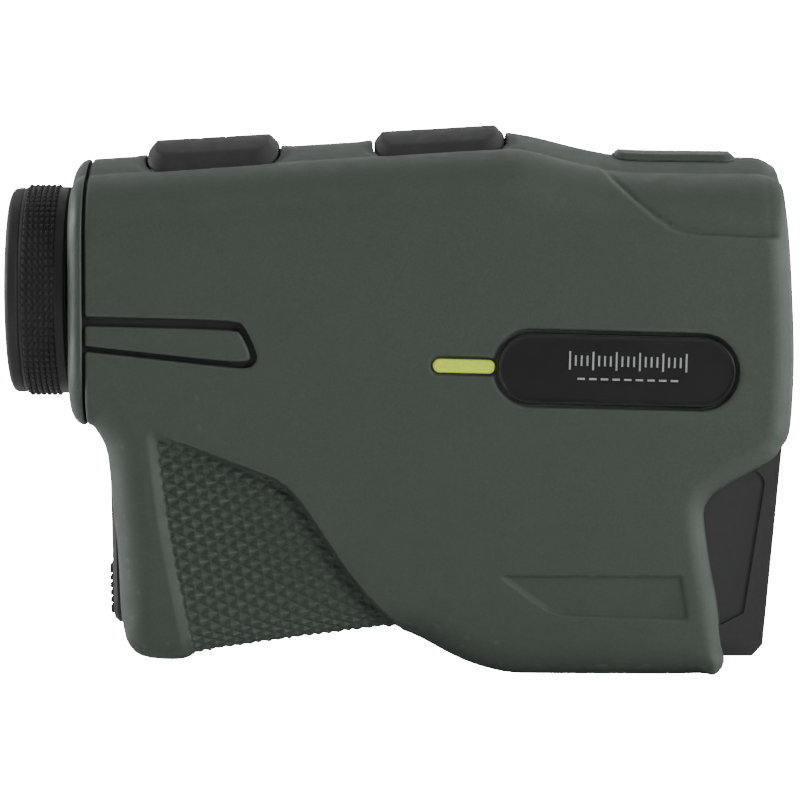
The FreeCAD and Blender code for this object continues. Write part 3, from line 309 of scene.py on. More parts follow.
def laminate(name, colour):
    """Circuit board: solder mask with buried tracks and tinned pads."""
    s = Shader(name)
    bricks = s.add("ShaderNodeTexBrick")
    bricks.inputs["Scale"].default_value = 1.0 / (2.4 * MM)
    bricks.inputs["Mortar Size"].default_value = 0.06
    bricks.inputs["Color1"].default_value = (*shade(colour, 0.8), 1)
    bricks.inputs["Color2"].default_value = (*shade(colour, 1.1), 1)
    bricks.inputs["Mortar"].default_value = (*shade(colour, 2.0), 1)
    s.link(s.coords, bricks.inputs["Vector"])
    pads = s.ramp(s.cells(1.7), 0.12, 0.16, 1.0, 0.0)
    s.set(Base_Color=s.mix(pads, bricks.outputs["Color"], (0.55, 0.5, 0.42)), Metallic=pads, Roughness=0.32,
          Normal=s.bump(bricks.outputs["Fac"], 0.2, 0.02))
    return s.material


GREEN = (0.052, 0.069, 0.054)
BLACK = (0.022, 0.022, 0.023)
# In the mouldings, the amount given for the edges sets how strongly convex edges are lightened as a painted
# highlight.
FINISHES = {
    "armour_green": (moulded, dict(colour=GREEN, rough=0.58, grain=0.22, depth=0.02, strength=0.30, edge_highlight=0.18)),
    "cap_green": (moulded, dict(colour=GREEN, rough=0.50, grain=0.22, depth=0.015, strength=0.22, edge_highlight=0.15)),
    "chassis_black": (moulded, dict(colour=BLACK, rough=0.5, grain=0.3, depth=0.02, strength=0.3)),
    "bezel_black": (moulded, dict(colour=BLACK, rough=0.5, grain=0.3, depth=0.02, strength=0.3)),
    "seal_black": (moulded, dict(colour=(0.006, 0.006, 0.006), rough=0.7, grain=0.2)),
    "plate_black": (moulded, dict(colour=(0.005, 0.005, 0.0055), rough=0.42, grain=0.12, depth=0.008, strength=0.2)),
    "accent_lime": (moulded, dict(colour=(0.74, 0.95, 0.05), rough=0.35, grain=0.15, depth=0.01, strength=0.15,
                                  edge_highlight=0.0)),
    "button_rubber": (moulded, dict(colour=(0.030, 0.030, 0.032), rough=0.62, grain=0.35, depth=0.05, strength=0.6)),
    "grip_rubber": (moulded, dict(colour=(0.017, 0.017, 0.018), rough=0.55, grain=0.25, depth=0.04, strength=0.5,
                                  edge_highlight=0.35)),
    "eyecup_rubber": (moulded, dict(colour=(0.019, 0.019, 0.020), rough=0.6, grain=0.35, depth=0.05, strength=0.55)),
    "anodised_black": (metal, dict(colour=(0.035, 0.035, 0.038), rough=0.45)),
    "satin_aluminium": (metal, dict(colour=(0.72, 0.73, 0.74), rough=0.32)),
    "objective_glass": (glass, dict(coat=(0.45, 0.75, 0.55), tint=(0.93, 0.98, 0.95))),
    "prism_glass": (glass, dict(coat=(0.8, 0.85, 0.95), tint=(0.97, 0.99, 1.0))),
    "display_glass": (moulded, dict(colour=(0.008, 0.009, 0.014), rough=0.12, grain=0.6, depth=0.002, strength=0.1)),
    "board_green": (laminate, dict(colour=(0.012, 0.12, 0.05))),
    "chip_black": (moulded, dict(colour=(0.018, 0.018, 0.020), rough=0.5, grain=0.15)),
    "switch_plastic": (moulded, dict(colour=(0.55, 0.54, 0.50), rough=0.45)),
    "plunger_dark": (moulded, dict(colour=(0.05, 0.05, 0.05), rough=0.45)),
    "battery_jacket": (moulded, dict(colour=(0.06, 0.08, 0.13), rough=0.28, grain=0.5, depth=0.004, strength=0.1)),
    "spring_steel": (metal, dict(colour=(0.70, 0.69, 0.66), rough=0.28)),
    "screw_steel": (metal, dict(colour=(0.10, 0.10, 0.105), rough=0.38)),
    "pin_steel": (metal, dict(colour=(0.66, 0.66, 0.67), rough=0.22)),
    "brass": (metal, dict(colour=(0.72, 0.52, 0.22), rough=0.27, axis=2)),
    "sensor_can": (metal, dict(colour=(0.68, 0.67, 0.64), rough=0.3)),
}
MATERIALS = {name: make(name, **look) for name, (make, look) in FINISHES.items()}

# ---------------------------------------------------------------- shape of the moulded shell
# Side-view lines are (x, z) in millimetres; PLAN is (x, half width).
TOP_LINE = [(-90.0, 70.6), (-71.6, 71.6), (-65.7, 72.0), (-45.6, 73.35), (-32.0, 74.2), (-20.0, 74.95),
            (-13.6, 75.25), (-11.6, 75.15), (-8.6, 74.55), (-5.1, 73.6), (-1.1, 72.7), (1.8, 72.2),
            (6.0, 72.0), (18.6, 71.9), (40.0, 71.5)]
PLAN = [(-90.0, 17.2), (-72.0, 17.7), (-45.0, 18.4), (-12.0, 19.4), (8.0, 19.95), (40.0, 20.0)]
FRONT_LINE = [(24.6, 95.0), (24.6, 66.3), (24.9, 62.2), (25.3, 57.2), (25.75, 47.3), (25.8, 42.8), (25.5, 35.9),
              (25.1, 33.2), (24.2, 31.9)]
CUTAWAY_LINE = [(24.2, 31.9), (23.2, 30.3), (20.5, 28.7), (18.0, 27.5), (15.5, 26.0), (14.3, 25.0), (13.6, 23.8),
                (13.4, 22.4), (13.9, 18.4), (14.5, 14.7), (15.3, 11.0), (15.9, 6.6), (16.4, 2.9), (16.4, 1.8),
                (15.6, 0.5), (14.4, 0.0)]
BELLY_LINE = [(14.4, 0.0), (-11.0, 0.0), (-13.6, 0.15), (-15.8, 0.6), (-18.9, 1.5), (-22.1, 3.0), (-25.3, 4.8),
              (-27.5, 5.8), (-29.7, 6.4)]
GRIP_FOOT_LINE = [(-29.7, 6.4), (-34.0, 6.0), (-40.2, 5.2), (-46.4, 4.4), (-52.6, 3.5), (-57.0, 2.8), (-58.2, 2.1),
                  (-60.4, 1.9), (-64.1, 2.2), (-65.9, 3.3), (-67.0, 5.4)]
PALM_LINE = [(-67.0, 5.4), (-67.5, 8.3), (-67.8, 16.6), (-68.3, 21.3), (-68.9, 27.5), (-69.3, 31.2), (-70.4, 33.4),
             (-71.6, 34.9), (-90.0, 35.6)]
# Each edge line with its rounding, and the two legs of the flat chamfer across it: over the side, over the end.
EDGES = [(FRONT_LINE, 1.2, 1.35, 2.3), (CUTAWAY_LINE, 0.9, 1.25, 2.0), (BELLY_LINE, 5.0, 0.02, 0.02),
         (GRIP_FOOT_LINE, 3.5, 0.02, 0.02), (PALM_LINE, 5.2, 0.02, 0.02)]
REAR_X = -71.6
REAR_LIP = 0.35              # the armour's rear edge laps over the gasket by this much
CROWN, STRIP_HALF = 2.3, 9.5     # the top falls by this much, out to this half width
SHOULDER_R = 9.0
SKIN = 1.5
BASE_TAPER, TAPER_TOP, TAPER_RUN = 0.45, 44.0, 40.0  # the sides draw in towards the foot
GRIP_EDGE = [(-62.2, 32.9), (-60.8, 21.6), (-59.6, 14.5), (-57.2, 3.1), (-56.8, -6.0), (-26.0, -6.0), (-28.6, 6.2),
             (-30.0, 7.7), (-33.4, 11.1), (-36.1, 14.5), (-38.6, 18.2), (-40.8, 21.6), (-42.6, 24.2), (-44.5, 26.2),
             (-46.3, 27.3), (-49.4, 28.5), (-53.7, 30.1), (-58.0, 31.8)]
GRIP_Y, GRIP_SLOPE = 17.25, -0.033   # half width at x = -60 of the lattice's ground, and its change with x
GRIP_BEVEL = (1.2, 0.5)      # width of the sloped border round the lattice: palm side, elsewhere
LATTICE_A, LATTICE_B = (1.54, -0.77), (-1.23, -1.02)
LATTICE_HEIGHT, LATTICE_FLOOR = 0.78, 0.42
FOOT_DEPTH, PANEL_DEPTH, SEAM_DEPTH = 0.5, 0.5, 0.25
WEDGE_OUTER = [(-80.0, 50.3), (-71.4, 49.8), (-51.2, 49.4), (-49.9, 48.6), (-48.1, 44.6), (-48.3, 43.6),
               (-49.4, 42.7), (-52.2, 42.9), (-71.4, 45.0), (-80.0, 45.9)]
WEDGE_INNER = [(-80.0, 48.85), (-71.0, 48.55), (-51.3, 48.1), (-50.3, 47.5), (-49.0, 44.5), (-49.3, 43.7),
               (-52.2, 43.62), (-71.4, 45.72), (-80.0, 46.7)]
FRONT_PANEL = [(-1.3, 90.0), (-1.3, 72.2), (-1.1, 70.9), (1.0, 68.3), (3.7, 65.7), (6.3, 63.6), (8.4, 62.2),
               (10.0, 61.6), (12.9, 61.2), (23.1, 60.7), (60.0, 58.9), (60.0, 90.0)]
FOOT_PANEL = [(-14.4, 14.1), (10.2, 14.1), (11.1, 8.2), (-4.8, 8.7), (-6.4, 8.9), (-8.3, 9.6), (-11.1, 11.5)]
PLATE_AT, PLATE_TILT = (1.2, 42.6), math.radians(-1.4)
PLATE_HALF = (16.5, 4.9)
ACCENT_DX, ACCENT_HALF = -20.9, (4.3, 0.95)
SCALE_TICKS, SCALE_PITCH, SCALE_AT = 21, 0.8, (1.6, 1.2)
SCREW_HOLES = [(-64.5, 32.6), (-27.5, 15.0), (-26.0, 33.0), (2.0, 33.0)]


def joint_axis(name):
    """Direction in which a joint slides."""
    return Vector([j for j in frame["joints"] if j["name"] == name][0]["axis"]).normalized()


def turned(x, z, origin, c, s):
    """Side-view coordinates in axes at origin, turned by the angle of cosine c and sine s."""
    dx, dz = x - origin[0], z - origin[1]
    return dx * c + dz * s, -dx * s + dz * c


def plate_axes(x, z, dx=0.0):
    """Coordinates along and across the tilted nameplate."""
    u, v = turned(x, z, PLATE_AT, math.cos(PLATE_TILT), math.sin(PLATE_TILT))
    return u - dx, v


# The button deck: local u runs forward along it, local w stands up from it.
UP = -joint_axis("power_press")
DECK_ORIGIN = (REAR_X, 71.6)


def deck_axes(x, z):
    return turned(x, z, DECK_ORIGIN, UP.z, -UP.x)


def node_centre_along_deck(node):
    low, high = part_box(node)
    mid = (low + high) / 2 / MM
    return deck_axes(mid.x, mid.z)[0]


BUTTONS = {name: node_centre_along_deck(name + "_switch_plunger") for name in ("power", "mode")}
BUTTON_HALF = (9.25, 8.35)
BUTTON_BEVEL = (1.1, 0.673, 0.92)   # slope, what makes its normal a unit, depth of the cut
BUTTON_WALL, BUTTON_SKIRT = 1.4, -4.7
BUTTON_PROUD = {"power": 2.15, "mode": 1.55}
BUTTON_DOME_R = 13.0


class Shell:
    """The smooth moulding sampled on a grid: tube (crowned top and sides), outline, and both joined."""

    def __init__(self, xs, ys, zs):
        self.axes = (xs, ys, zs)
        sampled = np.meshgrid(xs, ys, zs, indexing="ij", sparse=True)
        self.x, self.y, self.z = [a.astype(np.float32) for a in sampled]
        self.ay = np.abs(self.y)
        self.px, self.pz = np.meshgrid(xs, zs, indexing="ij")
        self.width = self.half_width()
        self.rest = self.flat(polygon_field(self.px, self.pz, smoothed_outline()))
        self.edge_r, self.side_leg, self.end_leg = [self.flat(a) for a in self.blend_sizes()]
        self.tube = rounded_and(self.roof(), self.ay - self.flat(self.width), SHOULDER_R)
        self.panelled = self.tube + self.front_panel()
        self.solid = self.edged(self.tube)

    def half_width(self):
        """Half width all over the side view: it draws in towards the foot and steps in at the grip's lattice."""
        px, pz = self.px, self.pz
        width = np.interp(px, *zip(*PLAN)) - BASE_TAPER * np.clip((TAPER_TOP - pz) / TAPER_RUN, 0, 1) ** 2
        ground = GRIP_Y + GRIP_SLOPE * (px + 60)
        from_palm = px + 62.2 + 0.165 * (pz - 32.9)
        bevel = np.interp(from_palm, (0.0, 3.0), GRIP_BEVEL)
        into = np.clip(1 - polygon_field(px, pz, GRIP_EDGE) / bevel, 0, 1)
        return width + (ground - width) * into * (width > ground)

    def roof(self):
        """The crowned top."""
        top = np.interp(self.px, *zip(*smoothed(TOP_LINE)))
        slope = np.gradient(top, axis=0) / np.gradient(self.px, axis=0)
        drop = (CROWN * np.minimum(self.ay / STRIP_HALF, 1.0) ** 2).astype(np.float32)
        return self.flat((self.pz - top) / np.sqrt(1 + slope ** 2)) + drop

    def front_panel(self):
        """Depth of the recessed front panel: it dies out at the front chamfer and on the top strip."""
        line = polygon_field(self.px, self.pz, FRONT_PANEL)
        seam = np.clip(1 - np.abs(line + 0.35) / 0.35, 0, 1)
        depth = PANEL_DEPTH * soft_step(line, 0.45) + SEAM_DEPTH * seam
        return self.flat(depth * np.clip((23.8 - self.px) / 1.6, 0, 1)) * soft_step(11.5 - self.ay, 11.0)

    def flat(self, a):
        """A value given over the side view, spread across the width."""
        return a[:, None, :].astype(np.float32)

    def edged(self, tube):
        """The tube ended by the side outline, with its edges rounded or chamfered."""
        across = tube * self.end_leg + self.rest * self.side_leg + self.side_leg * self.end_leg
        chamfer = across / np.hypot(self.side_leg, self.end_leg)
        return rounded_and(rounded_and(tube, self.rest, self.edge_r), chamfer, 0.5)

    def blend_sizes(self):
        """Rounding and chamfer legs at each point, weighted towards the nearest edge line."""
        totals, weights = np.zeros((3,) + self.px.shape), 0.0
        for line, *sizes in EDGES:
            w = 1.0 / (path_distance(self.px, self.pz, line) + 0.6) ** 4
            totals = totals + w * np.array(sizes)[:, None, None]
            weights = weights + w
        return totals / weights


def smoothed(line, rounds=2):
    """Corner-cut copy of an open line, keeping its ends."""
    for _ in range(rounds):
        out = [line[0]]
        for (x0, z0), (x1, z1) in zip(line, line[1:]):
            out += [(a * x0 + (1 - a) * x1, a * z0 + (1 - a) * z1) for a in (0.75, 0.25)]
        line = out + [line[-1]]
    return line


def smoothed_outline():
    """The whole side outline, from the rear round the foot to the front, closed high above the top."""
    joined = PALM_LINE[::-1]
    for line in (GRIP_FOOT_LINE, BELLY_LINE, CUTAWAY_LINE, FRONT_LINE):
        joined = joined + line[::-1][1:]
    return [(-90.0, 95.0)] + smoothed(joined, 1)


def pyramids(x, along):
    """Height 0..1 of the grip's pointed lattice."""
    (ax, az), (bx, bz) = LATTICE_A, LATTICE_B
    det = ax * bz - bx * az
    u = (x * bz - bx * along) / det
    v = (ax * along - az * x) / det
    u, v = np.abs(u - np.floor(u) - 0.5), np.abs(v - np.floor(v) - 0.5)
    return 1 - 2 * np.maximum(u, v)


def button_field(x, y, z, name, grow):
    """Plan outline of a button in the deck's own axes."""
    u, w = deck_axes(x, z)
    return rectangle_field(u - BUTTONS[name], y, BUTTON_HALF[0] + grow, BUTTON_HALF[1] + grow, 3.2 + grow), w


DOOR_ORIGIN = (-68.35, 20.0)
DOOR_DOWN = joint_axis("door_latch_slide")      # the latch slides straight down the leaning door


def door_axes(x, z):
    """Local axes of the battery door: out of the palm side, and up it."""
    inward, up = turned(x, z, DOOR_ORIGIN, -DOOR_DOWN.z, DOOR_DOWN.x)
    return -inward, up


HOOD_RIM, HOOD_FLOOR_X = 2.3, 21.4      # the hood round the objective: wall, and where its floor is
PLATE_FLOOR, ACCENT_FLOOR = 18.85, 18.55  # |y| of the pocket floors
BUTTON_LIP, BUTTON_DISH = 0.12, 0.7
DOOR_OPENING = (10.55, 12.05, 3.6)       # half width, half height, corner
DOOR_PIN, DOOR_SWEEP_R = (-0.4, 12.0), 2.4
BUSH_HOLE_R = 5.4
STEP = 0.31


def armour(side):
    """One half of the green armour skin; side is -1 for the user's right."""
    grip_step, coarse = STEP * 0.68, STEP * 1.8
    xs = spaced((-72.6, -63.2, STEP), (-63.2, -25.6, grip_step), (-25.6, 26.6, STEP))
    ys = spaced((-20.9, -18.5, STEP), (-18.5, -14.6, grip_step), (-14.6, 0.7, coarse))
    zs = spaced((-0.9, 1.6, STEP), (1.6, 33.8, grip_step), (33.8, 76.8, STEP))
    s = Shell(xs, ys, zs)
    skin = np.maximum(armour_outside(s), -(s.solid + SKIN))
    skin = rounded_and(skin, -np.maximum(s.tube + HOOD_RIM, HOOD_FLOOR_X - s.x), 0.5)
    skin = cut_inlays(skin, s)
    skin = cut_openings(skin, s)
    if side > 0:
        for hx, hz in SCREW_HOLES:
            skin = rounded_and(skin, -np.maximum(np.hypot(s.x - hx, s.z - hz) - 2.5, 8 - s.ay), 0.3)
    skin = rounded_and(skin, s.y + 0.03, 0.18)
    verts, quads = surface_net(skin, s.axes)
    depth = nearest_value(s.solid, s.axes, verts)
    inner = depth < -1.2
    verts, raised = raise_lattice(s, verts, quads, depth)
    facets = raised[quads].min(axis=1) > 0
    if side > 0:
        verts = verts * [1, -1, 1]
        quads = quads[:, ::-1]
    name = "armour_right" if side < 0 else "armour_left"
    obj = make_object(name + "_skin", verts, quads, MATERIALS["armour_green"])
    obj.data.polygons.foreach_set("use_smooth", ~facets)
    thin_out(obj, inner, 0.56)
    return piece(obj, "shell", "armour_green", name)


def armour_outside(s):
    """The armour's outside with the button lips, the foot recess and the rear edge."""
    boss = [button_field(s.x, s.y, s.z, n, 1.5)[0] for n in BUTTONS]
    # A raised lip at the buttons' ends turns into a shallow dish along their sides.
    lift = np.maximum(soft_step(boss[0], 1.6), soft_step(boss[1], 1.6)) * (s.z > 60)
    lift = lift * (BUTTON_LIP - BUTTON_DISH * np.clip((s.ay - 4.5) / 3.0, 0, 1))
    outer = s.edged(s.panelled) - lift
    foot = s.flat(polygon_field(s.px, s.pz, FOOT_PANEL))
    outer = outer + FOOT_DEPTH * soft_step(foot, 0.5) * (s.ay > 12)
    return rounded_and(outer, REAR_X - REAR_LIP - s.x, 0.4)


def cut_inlays(skin, s):
    """Pockets for the nameplate and the accent bar, and the wedge groove."""
    pockets = ((0.0, PLATE_HALF, (0.45, 0.45, 0.44), PLATE_FLOOR, 0.3),
               (ACCENT_DX, ACCENT_HALF, (0.3, 0.32, 0.3), ACCENT_FLOOR, 0.2))
    for dx, (hu, hv), (gap_u, gap_v, gap_r), floor, edge in pockets:
        u, v = plate_axes(s.px, s.pz, dx)
        pocket = s.flat(rectangle_field(u, v, hu + gap_u, hv + gap_v, hv + gap_r))
        skin = rounded_and(skin, -np.maximum(pocket, floor - s.ay), edge)
    wedge = s.flat(polygon_field(s.px, s.pz, smoothed_ring(WEDGE_OUTER)))
    return rounded_and(skin, -np.maximum(wedge, 10 - s.ay), 0.3)


def cut_openings(skin, s):
    """Openings for the buttons, the battery door with its latch, and the tripod bush."""
    for name in BUTTONS:
        plan, w = button_field(s.x, s.y, s.z, name, 0.16)
        skin = rounded_and(skin, -np.maximum(plan, -6 - w), 0.2)
    out, up = door_axes(s.x, s.z)
    door = rectangle_field(s.y, up + 1.7, *DOOR_OPENING)
    skin = rounded_and(skin, -np.maximum(door, -4 - out), 0.35)
    knuckle = rectangle_field(s.y, up - 11.5, 6.6, 2.4, 0.6)
    skin = np.maximum(skin, -np.maximum(knuckle, -2.5 - out))
    # Room for the door's top edge as it swings about its pin, and for the latch's pad and toe when it is low.
    pin_out, pin_up = DOOR_PIN
    sweep = np.maximum(np.hypot(out - pin_out, up - pin_up) - DOOR_SWEEP_R, s.ay - 10.8)
    skin = rounded_and(skin, -np.maximum(sweep, 0.2 - out), 0.2)
    pad_room = rectangle_field(s.y, up + 12.9, 6.6, 1.45, 0.8)
    skin = rounded_and(skin, -np.maximum(pad_room, -0.65 - out), 0.2)
    toe_room = rectangle_field(s.y, up + 13.8, 2.8, 1.5, 0.3)
    skin = np.maximum(skin, -np.maximum(toe_room, out + 2.2))
    return np.maximum(skin, -np.maximum(np.hypot(s.x, s.y) - BUSH_HOLE_R, s.z - 12))


def raise_lattice(s, verts, quads, depth):
    """Moves the grip's outer vertices along their normals into rows of pyramids; also says which moved."""
    x, z = verts[:, 0], verts[:, 2]
    edge = polygon_field(x, z, GRIP_EDGE)
    mask = np.clip(-edge / 0.3, 0, 1) * (depth > -0.9) * (z < 36)
    width = nearest_value(s.flat(s.width), s.axes, verts)
    along = z - (width - np.abs(verts[:, 1]))
    lift = LATTICE_HEIGHT * np.interp(z, (3.0, 14.0, 26.0), (0.6, 0.85, 1.0)) * pyramids(x, along) - LATTICE_FLOOR
    return verts + vertex_normals(verts, quads) * (mask * lift)[:, None], mask


def vertex_normals(verts, quads):
    """Unit normals, pointing out of a closed quad mesh."""
    cross = np.cross(verts[quads[:, 2]] - verts[quads[:, 0]], verts[quads[:, 3]] - verts[quads[:, 1]])
    total = [sum(np.bincount(quads[:, k], cross[:, c], len(verts)) for k in range(4)) for c in range(3)]
    total = np.stack(total, 1)
    return total / (np.linalg.norm(total, axis=1, keepdims=True) + 1e-12)


def smoothed_ring(points):
    line = smoothed(points + points[:1], 2)
    return line[:-1]


def nearest_value(field, axes, verts):
    index = [np.clip(np.searchsorted(a, verts[:, k]), 0, len(a) - 1) for k, a in enumerate(axes)]
    return np.broadcast_to(field, [len(a) for a in axes])[tuple(index)]


def thin_out(obj, hidden, ratio):
    """Collapses faces of the hidden inner side, leaving the outer side at full detail."""
    group = obj.vertex_groups.new(name="inner")
    group.add([int(i) for i in np.nonzero(hidden)[0]], 1.0, "REPLACE")
    collapse = obj.modifiers.new("thin", "DECIMATE")
    collapse.ratio = ratio
    collapse.vertex_group = "inner"
    collapse.vertex_group_factor = 10.0
    apply_modifiers(obj)


def apply_modifiers(obj):
    graph = bpy.context.evaluated_depsgraph_get()
    mesh = bpy.data.meshes.new_from_object(obj.evaluated_get(graph))
    obj.modifiers.clear()
    obj.data = mesh


def side_inlay():
    """Green filler set in the wedge-shaped groove."""
    xs, ys, zs = spaced((-72.4, -48.0, 0.2)), spaced((-19.6, -15.6, 0.2)), spaced((43.0, 49.6, 0.2))
    s = Shell(xs, ys, zs)
    shape = s.flat(polygon_field(s.px, s.pz, smoothed_ring(WEDGE_INNER)))
    body = np.maximum(s.solid + 0.12, -(s.solid + 1.45))
    body = rounded_and(rounded_and(body, shape, 0.35), REAR_X - REAR_LIP - s.x, 0.3)
    return surface_net(body, s.axes)


def both_sides(name, net, slot, node):
    """A shell piece made of the right-hand net and its mirror image."""
    verts, quads = net
    other = verts * [1, -1, 1]
    verts = np.concatenate([verts, other])
    quads = np.concatenate([quads, quads[:, ::-1] + len(other)])
    return piece(make_object(name, verts, quads, MATERIALS[slot]), "shell", slot, node)


def nameplate_net():
    """Black plate with a fine raised border."""
    xs, ys, zs = spaced((-16.5, 19.0, 0.2)), spaced((-20.2, -18.5, 0.12)), spaced((36.8, 48.4, 0.2))
    x, y, z = np.meshgrid(xs, ys, zs, indexing="ij")
    u, v = plate_axes(x, z)
    outline = rectangle_field(u, v, PLATE_HALF[0], PLATE_HALF[1], PLATE_HALF[1] - 0.01)
    face = -y - 19.72
    dish = 0.1 * soft_step(outline + 0.45, 0.2)
    body = rounded_and(face + dish, outline, 0.3)
    return surface_net(np.maximum(body, y + 18.88), (xs, ys, zs))


def scale_marks():
    """Silver tick scale over a row of fine bars, raised on each nameplate."""
    marks = []
    for i in range(SCALE_TICKS):
        tall = i % 4 == 0
        u = SCALE_AT[0] + (i - (SCALE_TICKS - 1) / 2) * SCALE_PITCH
        marks.append((u, SCALE_AT[1], 0.16, 1.3 if tall else 0.75))
    for i in range(9):
        marks.append((SCALE_AT[0] + (i - 4) * 1.6, SCALE_AT[1] - 2.5, 0.55, 0.17))
    c, sn = math.cos(PLATE_TILT), math.sin(PLATE_TILT)
    verts, faces = [], []
    for side in (-1, 1):
        for u, v, hu, hv in marks:
            start = len(verts)
            for y in (19.55, 19.70):
                inset = 0.0 if y < 19.6 else 0.05
                for su, sv in ((-1, -1), (1, -1), (1, 1), (-1, 1)):
                    a, b = u + su * (hu - inset), v + sv * (hv - inset)
                    verts.append((PLATE_AT[0] + a * c - b * sn, side * y, PLATE_AT[1] + a * sn + b * c))
            quads = [(0, 1, 2, 3), (7, 6, 5, 4), (0, 4, 5, 1), (1, 5, 6, 2), (2, 6, 7, 3), (3, 7, 4, 0)]
            faces += [tuple(start + k for k in q) for q in quads]
    obj = outward(make_object("scale_marks", verts, faces, MATERIALS["satin_aluminium"], smooth=False))
    return piece(obj, "shell", "satin_aluminium")


def accent_net():
    """Rounded bar beside the nameplate."""
    xs, ys, zs = spaced((-25.2, -14.6, 0.12)), spaced((-20.0, -18.1, 0.12)), spaced((41.2, 45.2, 0.12))
    x, y, z = np.meshgrid(xs, ys, zs, indexing="ij")
    u, v = plate_axes(x, z, ACCENT_DX)
    outline = rectangle_field(u, v, ACCENT_HALF[0], ACCENT_HALF[1], ACCENT_HALF[1] - 0.01)
    body = rounded_and(-y - 19.3, outline, 0.35)
    return surface_net(np.maximum(body, y + 18.58), (xs, ys, zs))


def button(name):
    """Domed rubber cap with a broad bevel all round and a raised mark, hollow below."""
    proud = BUTTON_PROUD[name]
    us, vs = spaced((-10.4, 10.4, 0.2)), spaced((-9.4, 9.4, 0.2))
    ws = spaced((-5.4, 3.2, 0.16))
    u, v, w = np.meshgrid(us, vs, ws, indexing="ij")
    fall = BUTTON_DOME_R - np.sqrt(BUTTON_DOME_R ** 2 - v ** 2)
    roof = (w - proud + fall) * np.sqrt(1 - (v / BUTTON_DOME_R) ** 2)
    walls = rectangle_field(u, v, BUTTON_HALF[0], BUTTON_HALF[1], 3.4)
    slope, unit, cut = BUTTON_BEVEL
    bevel = (roof + walls * slope) * unit + cut
    body = rounded_and(rounded_and(roof, bevel, 0.15), walls, 0.25)
    mark = np.abs(np.hypot(u, v) - 1.9) - 0.22 if name == "power" else rectangle_field(u, v, 2.1, 0.3, 0.29)
    body = body + 0.22 * soft_step(mark, 0.25) * (w > 0)
    body = np.maximum(body, BUTTON_SKIRT - w)
    hollow = rectangle_field(u, v, BUTTON_HALF[0] - BUTTON_WALL, BUTTON_HALF[1] - BUTTON_WALL, 2.0)
    body = np.maximum(body, -np.maximum(hollow, w + 1.9))
    verts, quads = surface_net(body, (us, vs, ws))
    c, sn = UP.z, -UP.x
    along, up = verts[:, 0] + BUTTONS[name], verts[:, 2]
    x, z = DECK_ORIGIN[0] + along * c - up * sn, DECK_ORIGIN[1] + along * sn + up * c
    world = np.stack([x, verts[:, 1], z], 1)
    obj = make_object(name + "_button_cap", world, quads, MATERIALS["button_rubber"])
    return piece(obj, name + "_button", "button_rubber", name + "_button")


CAP_REAR_X, CAP_FRONT_X, CAP_BOTTOM = -74.6, -72.33, 34.4
CAP_BORE_R, CAP_ROLL = 13.2, 4.6
PAD_AT, PAD_HALF, PAD_RISE = 10.2, (8.8, 5.8), 0.85


def rear_cap():
    """Green ring round the eyepiece: its rim rolls over towards the eye."""
    xs, ys, zs = spaced((-75.1, -71.9, 0.16)), spaced((-18.6, 18.6, 0.3)), spaced((33.8, 72.6, 0.3))
    s = Shell(xs, ys, zs)
    low = rounded_and(s.tube, CAP_BOTTOM - s.z, 8.0)
    t = np.clip((-72.5 - s.x) / 2.15, 0, 1)
    roll = CAP_ROLL * (1 - np.sqrt(np.clip(1 - t ** 2, 0, 1)))
    body = rounded_and(low + roll * 0.8, CAP_REAR_X - s.x, 0.5)
    body = rounded_and(body, s.x - CAP_FRONT_X, 0.15)
    body = rounded_and(body, CAP_BORE_R - np.hypot(s.y, s.z - EYE_Z), 0.4)
    verts, quads = surface_net(np.maximum(body, CAP_REAR_X - 0.02 - s.x), s.axes)
    obj = make_object("rear_cap_ring", verts, quads, MATERIALS["cap_green"])
    return piece(obj, "shell", "cap_green", "rear_cap")


def top_pad():
    """Low raised pad on the front of the top strip, with sloped sides."""
    xs, ys, zs = spaced((0.4, 20.2, 0.2)), spaced((-6.8, 6.8, 0.2)), spaced((70.2, 73.6, 0.14))
    s = Shell(xs, ys, zs)
    plan = rectangle_field(s.x - PAD_AT, s.y, *PAD_HALF, 2.2)
    rise = PAD_RISE - 0.9 * np.maximum(plan + 1.0, 0)
    body = rounded_and(s.panelled - np.maximum(rise, -1), plan, 0.25)
    body = np.maximum(body, 0.02 - s.panelled)
    verts, quads = surface_net(body, s.axes)
    obj = make_object("top_pad", verts, quads, MATERIALS["cap_green"])
    return piece(obj, "shell", "cap_green", "top_plate")


# ---------------------------------------------------------------- turned parts
EYE_Z = sum(corner.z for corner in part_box("eyecup")) / 2 / MM
EYECUP_R, SLEEVE_R, SLEEVE_BORE_R = 13.95, 14.66, 14.46
SLEEVE_TEETH, BAND_PITCH = 84, 0.78


def lathe(name, profile, material, height, steps=160, relief=None):
    """Closed ring turned about the X axis from (x, radius) points; relief(x, r, angle) may move radii."""
    n = len(profile)
    verts = []
    for i in range(steps):
        a = 2 * math.pi * i / steps
        for x, r in profile:
            rr = relief(x, r, a) if relief else r
            verts.append((x, rr * math.cos(a), height + rr * math.sin(a)))
    faces = []
    for i in range(steps):
        here, there = i * n, (i + 1) % steps * n
        for j in range(n):
            k = (j + 1) % n
            faces.append((here + j, here + k, there + k, there + j))
    return outward(make_object(name, np.array(verts), np.array(faces), material))


def outward(obj):
    """Turns every face of a closed mesh to the outside."""
    bm = bmesh.new()
    bm.from_mesh(obj.data)
    bmesh.ops.recalc_face_normals(bm, faces=bm.faces)
    bm.to_mesh(obj.data)
    bm.free()
    return obj


def rounded_profile(corners, r, steps=4):
    """Closed profile with every corner softened by about r."""
    out = []
    count = len(corners)
    for i, p in enumerate(corners):
        p = Vector(p)
        a, b = Vector(corners[i - 1]) - p, Vector(corners[(i + 1) % count]) - p
        reach = min(r, a.length * 0.45, b.length * 0.45)
        start, end = p + a.normalized() * reach, p + b.normalized() * reach
        for k in range(steps + 1):
            t = k / steps
            out.append(tuple(start * (1 - t) ** 2 + p * (2 * t * (1 - t)) + end * t ** 2))
    return out


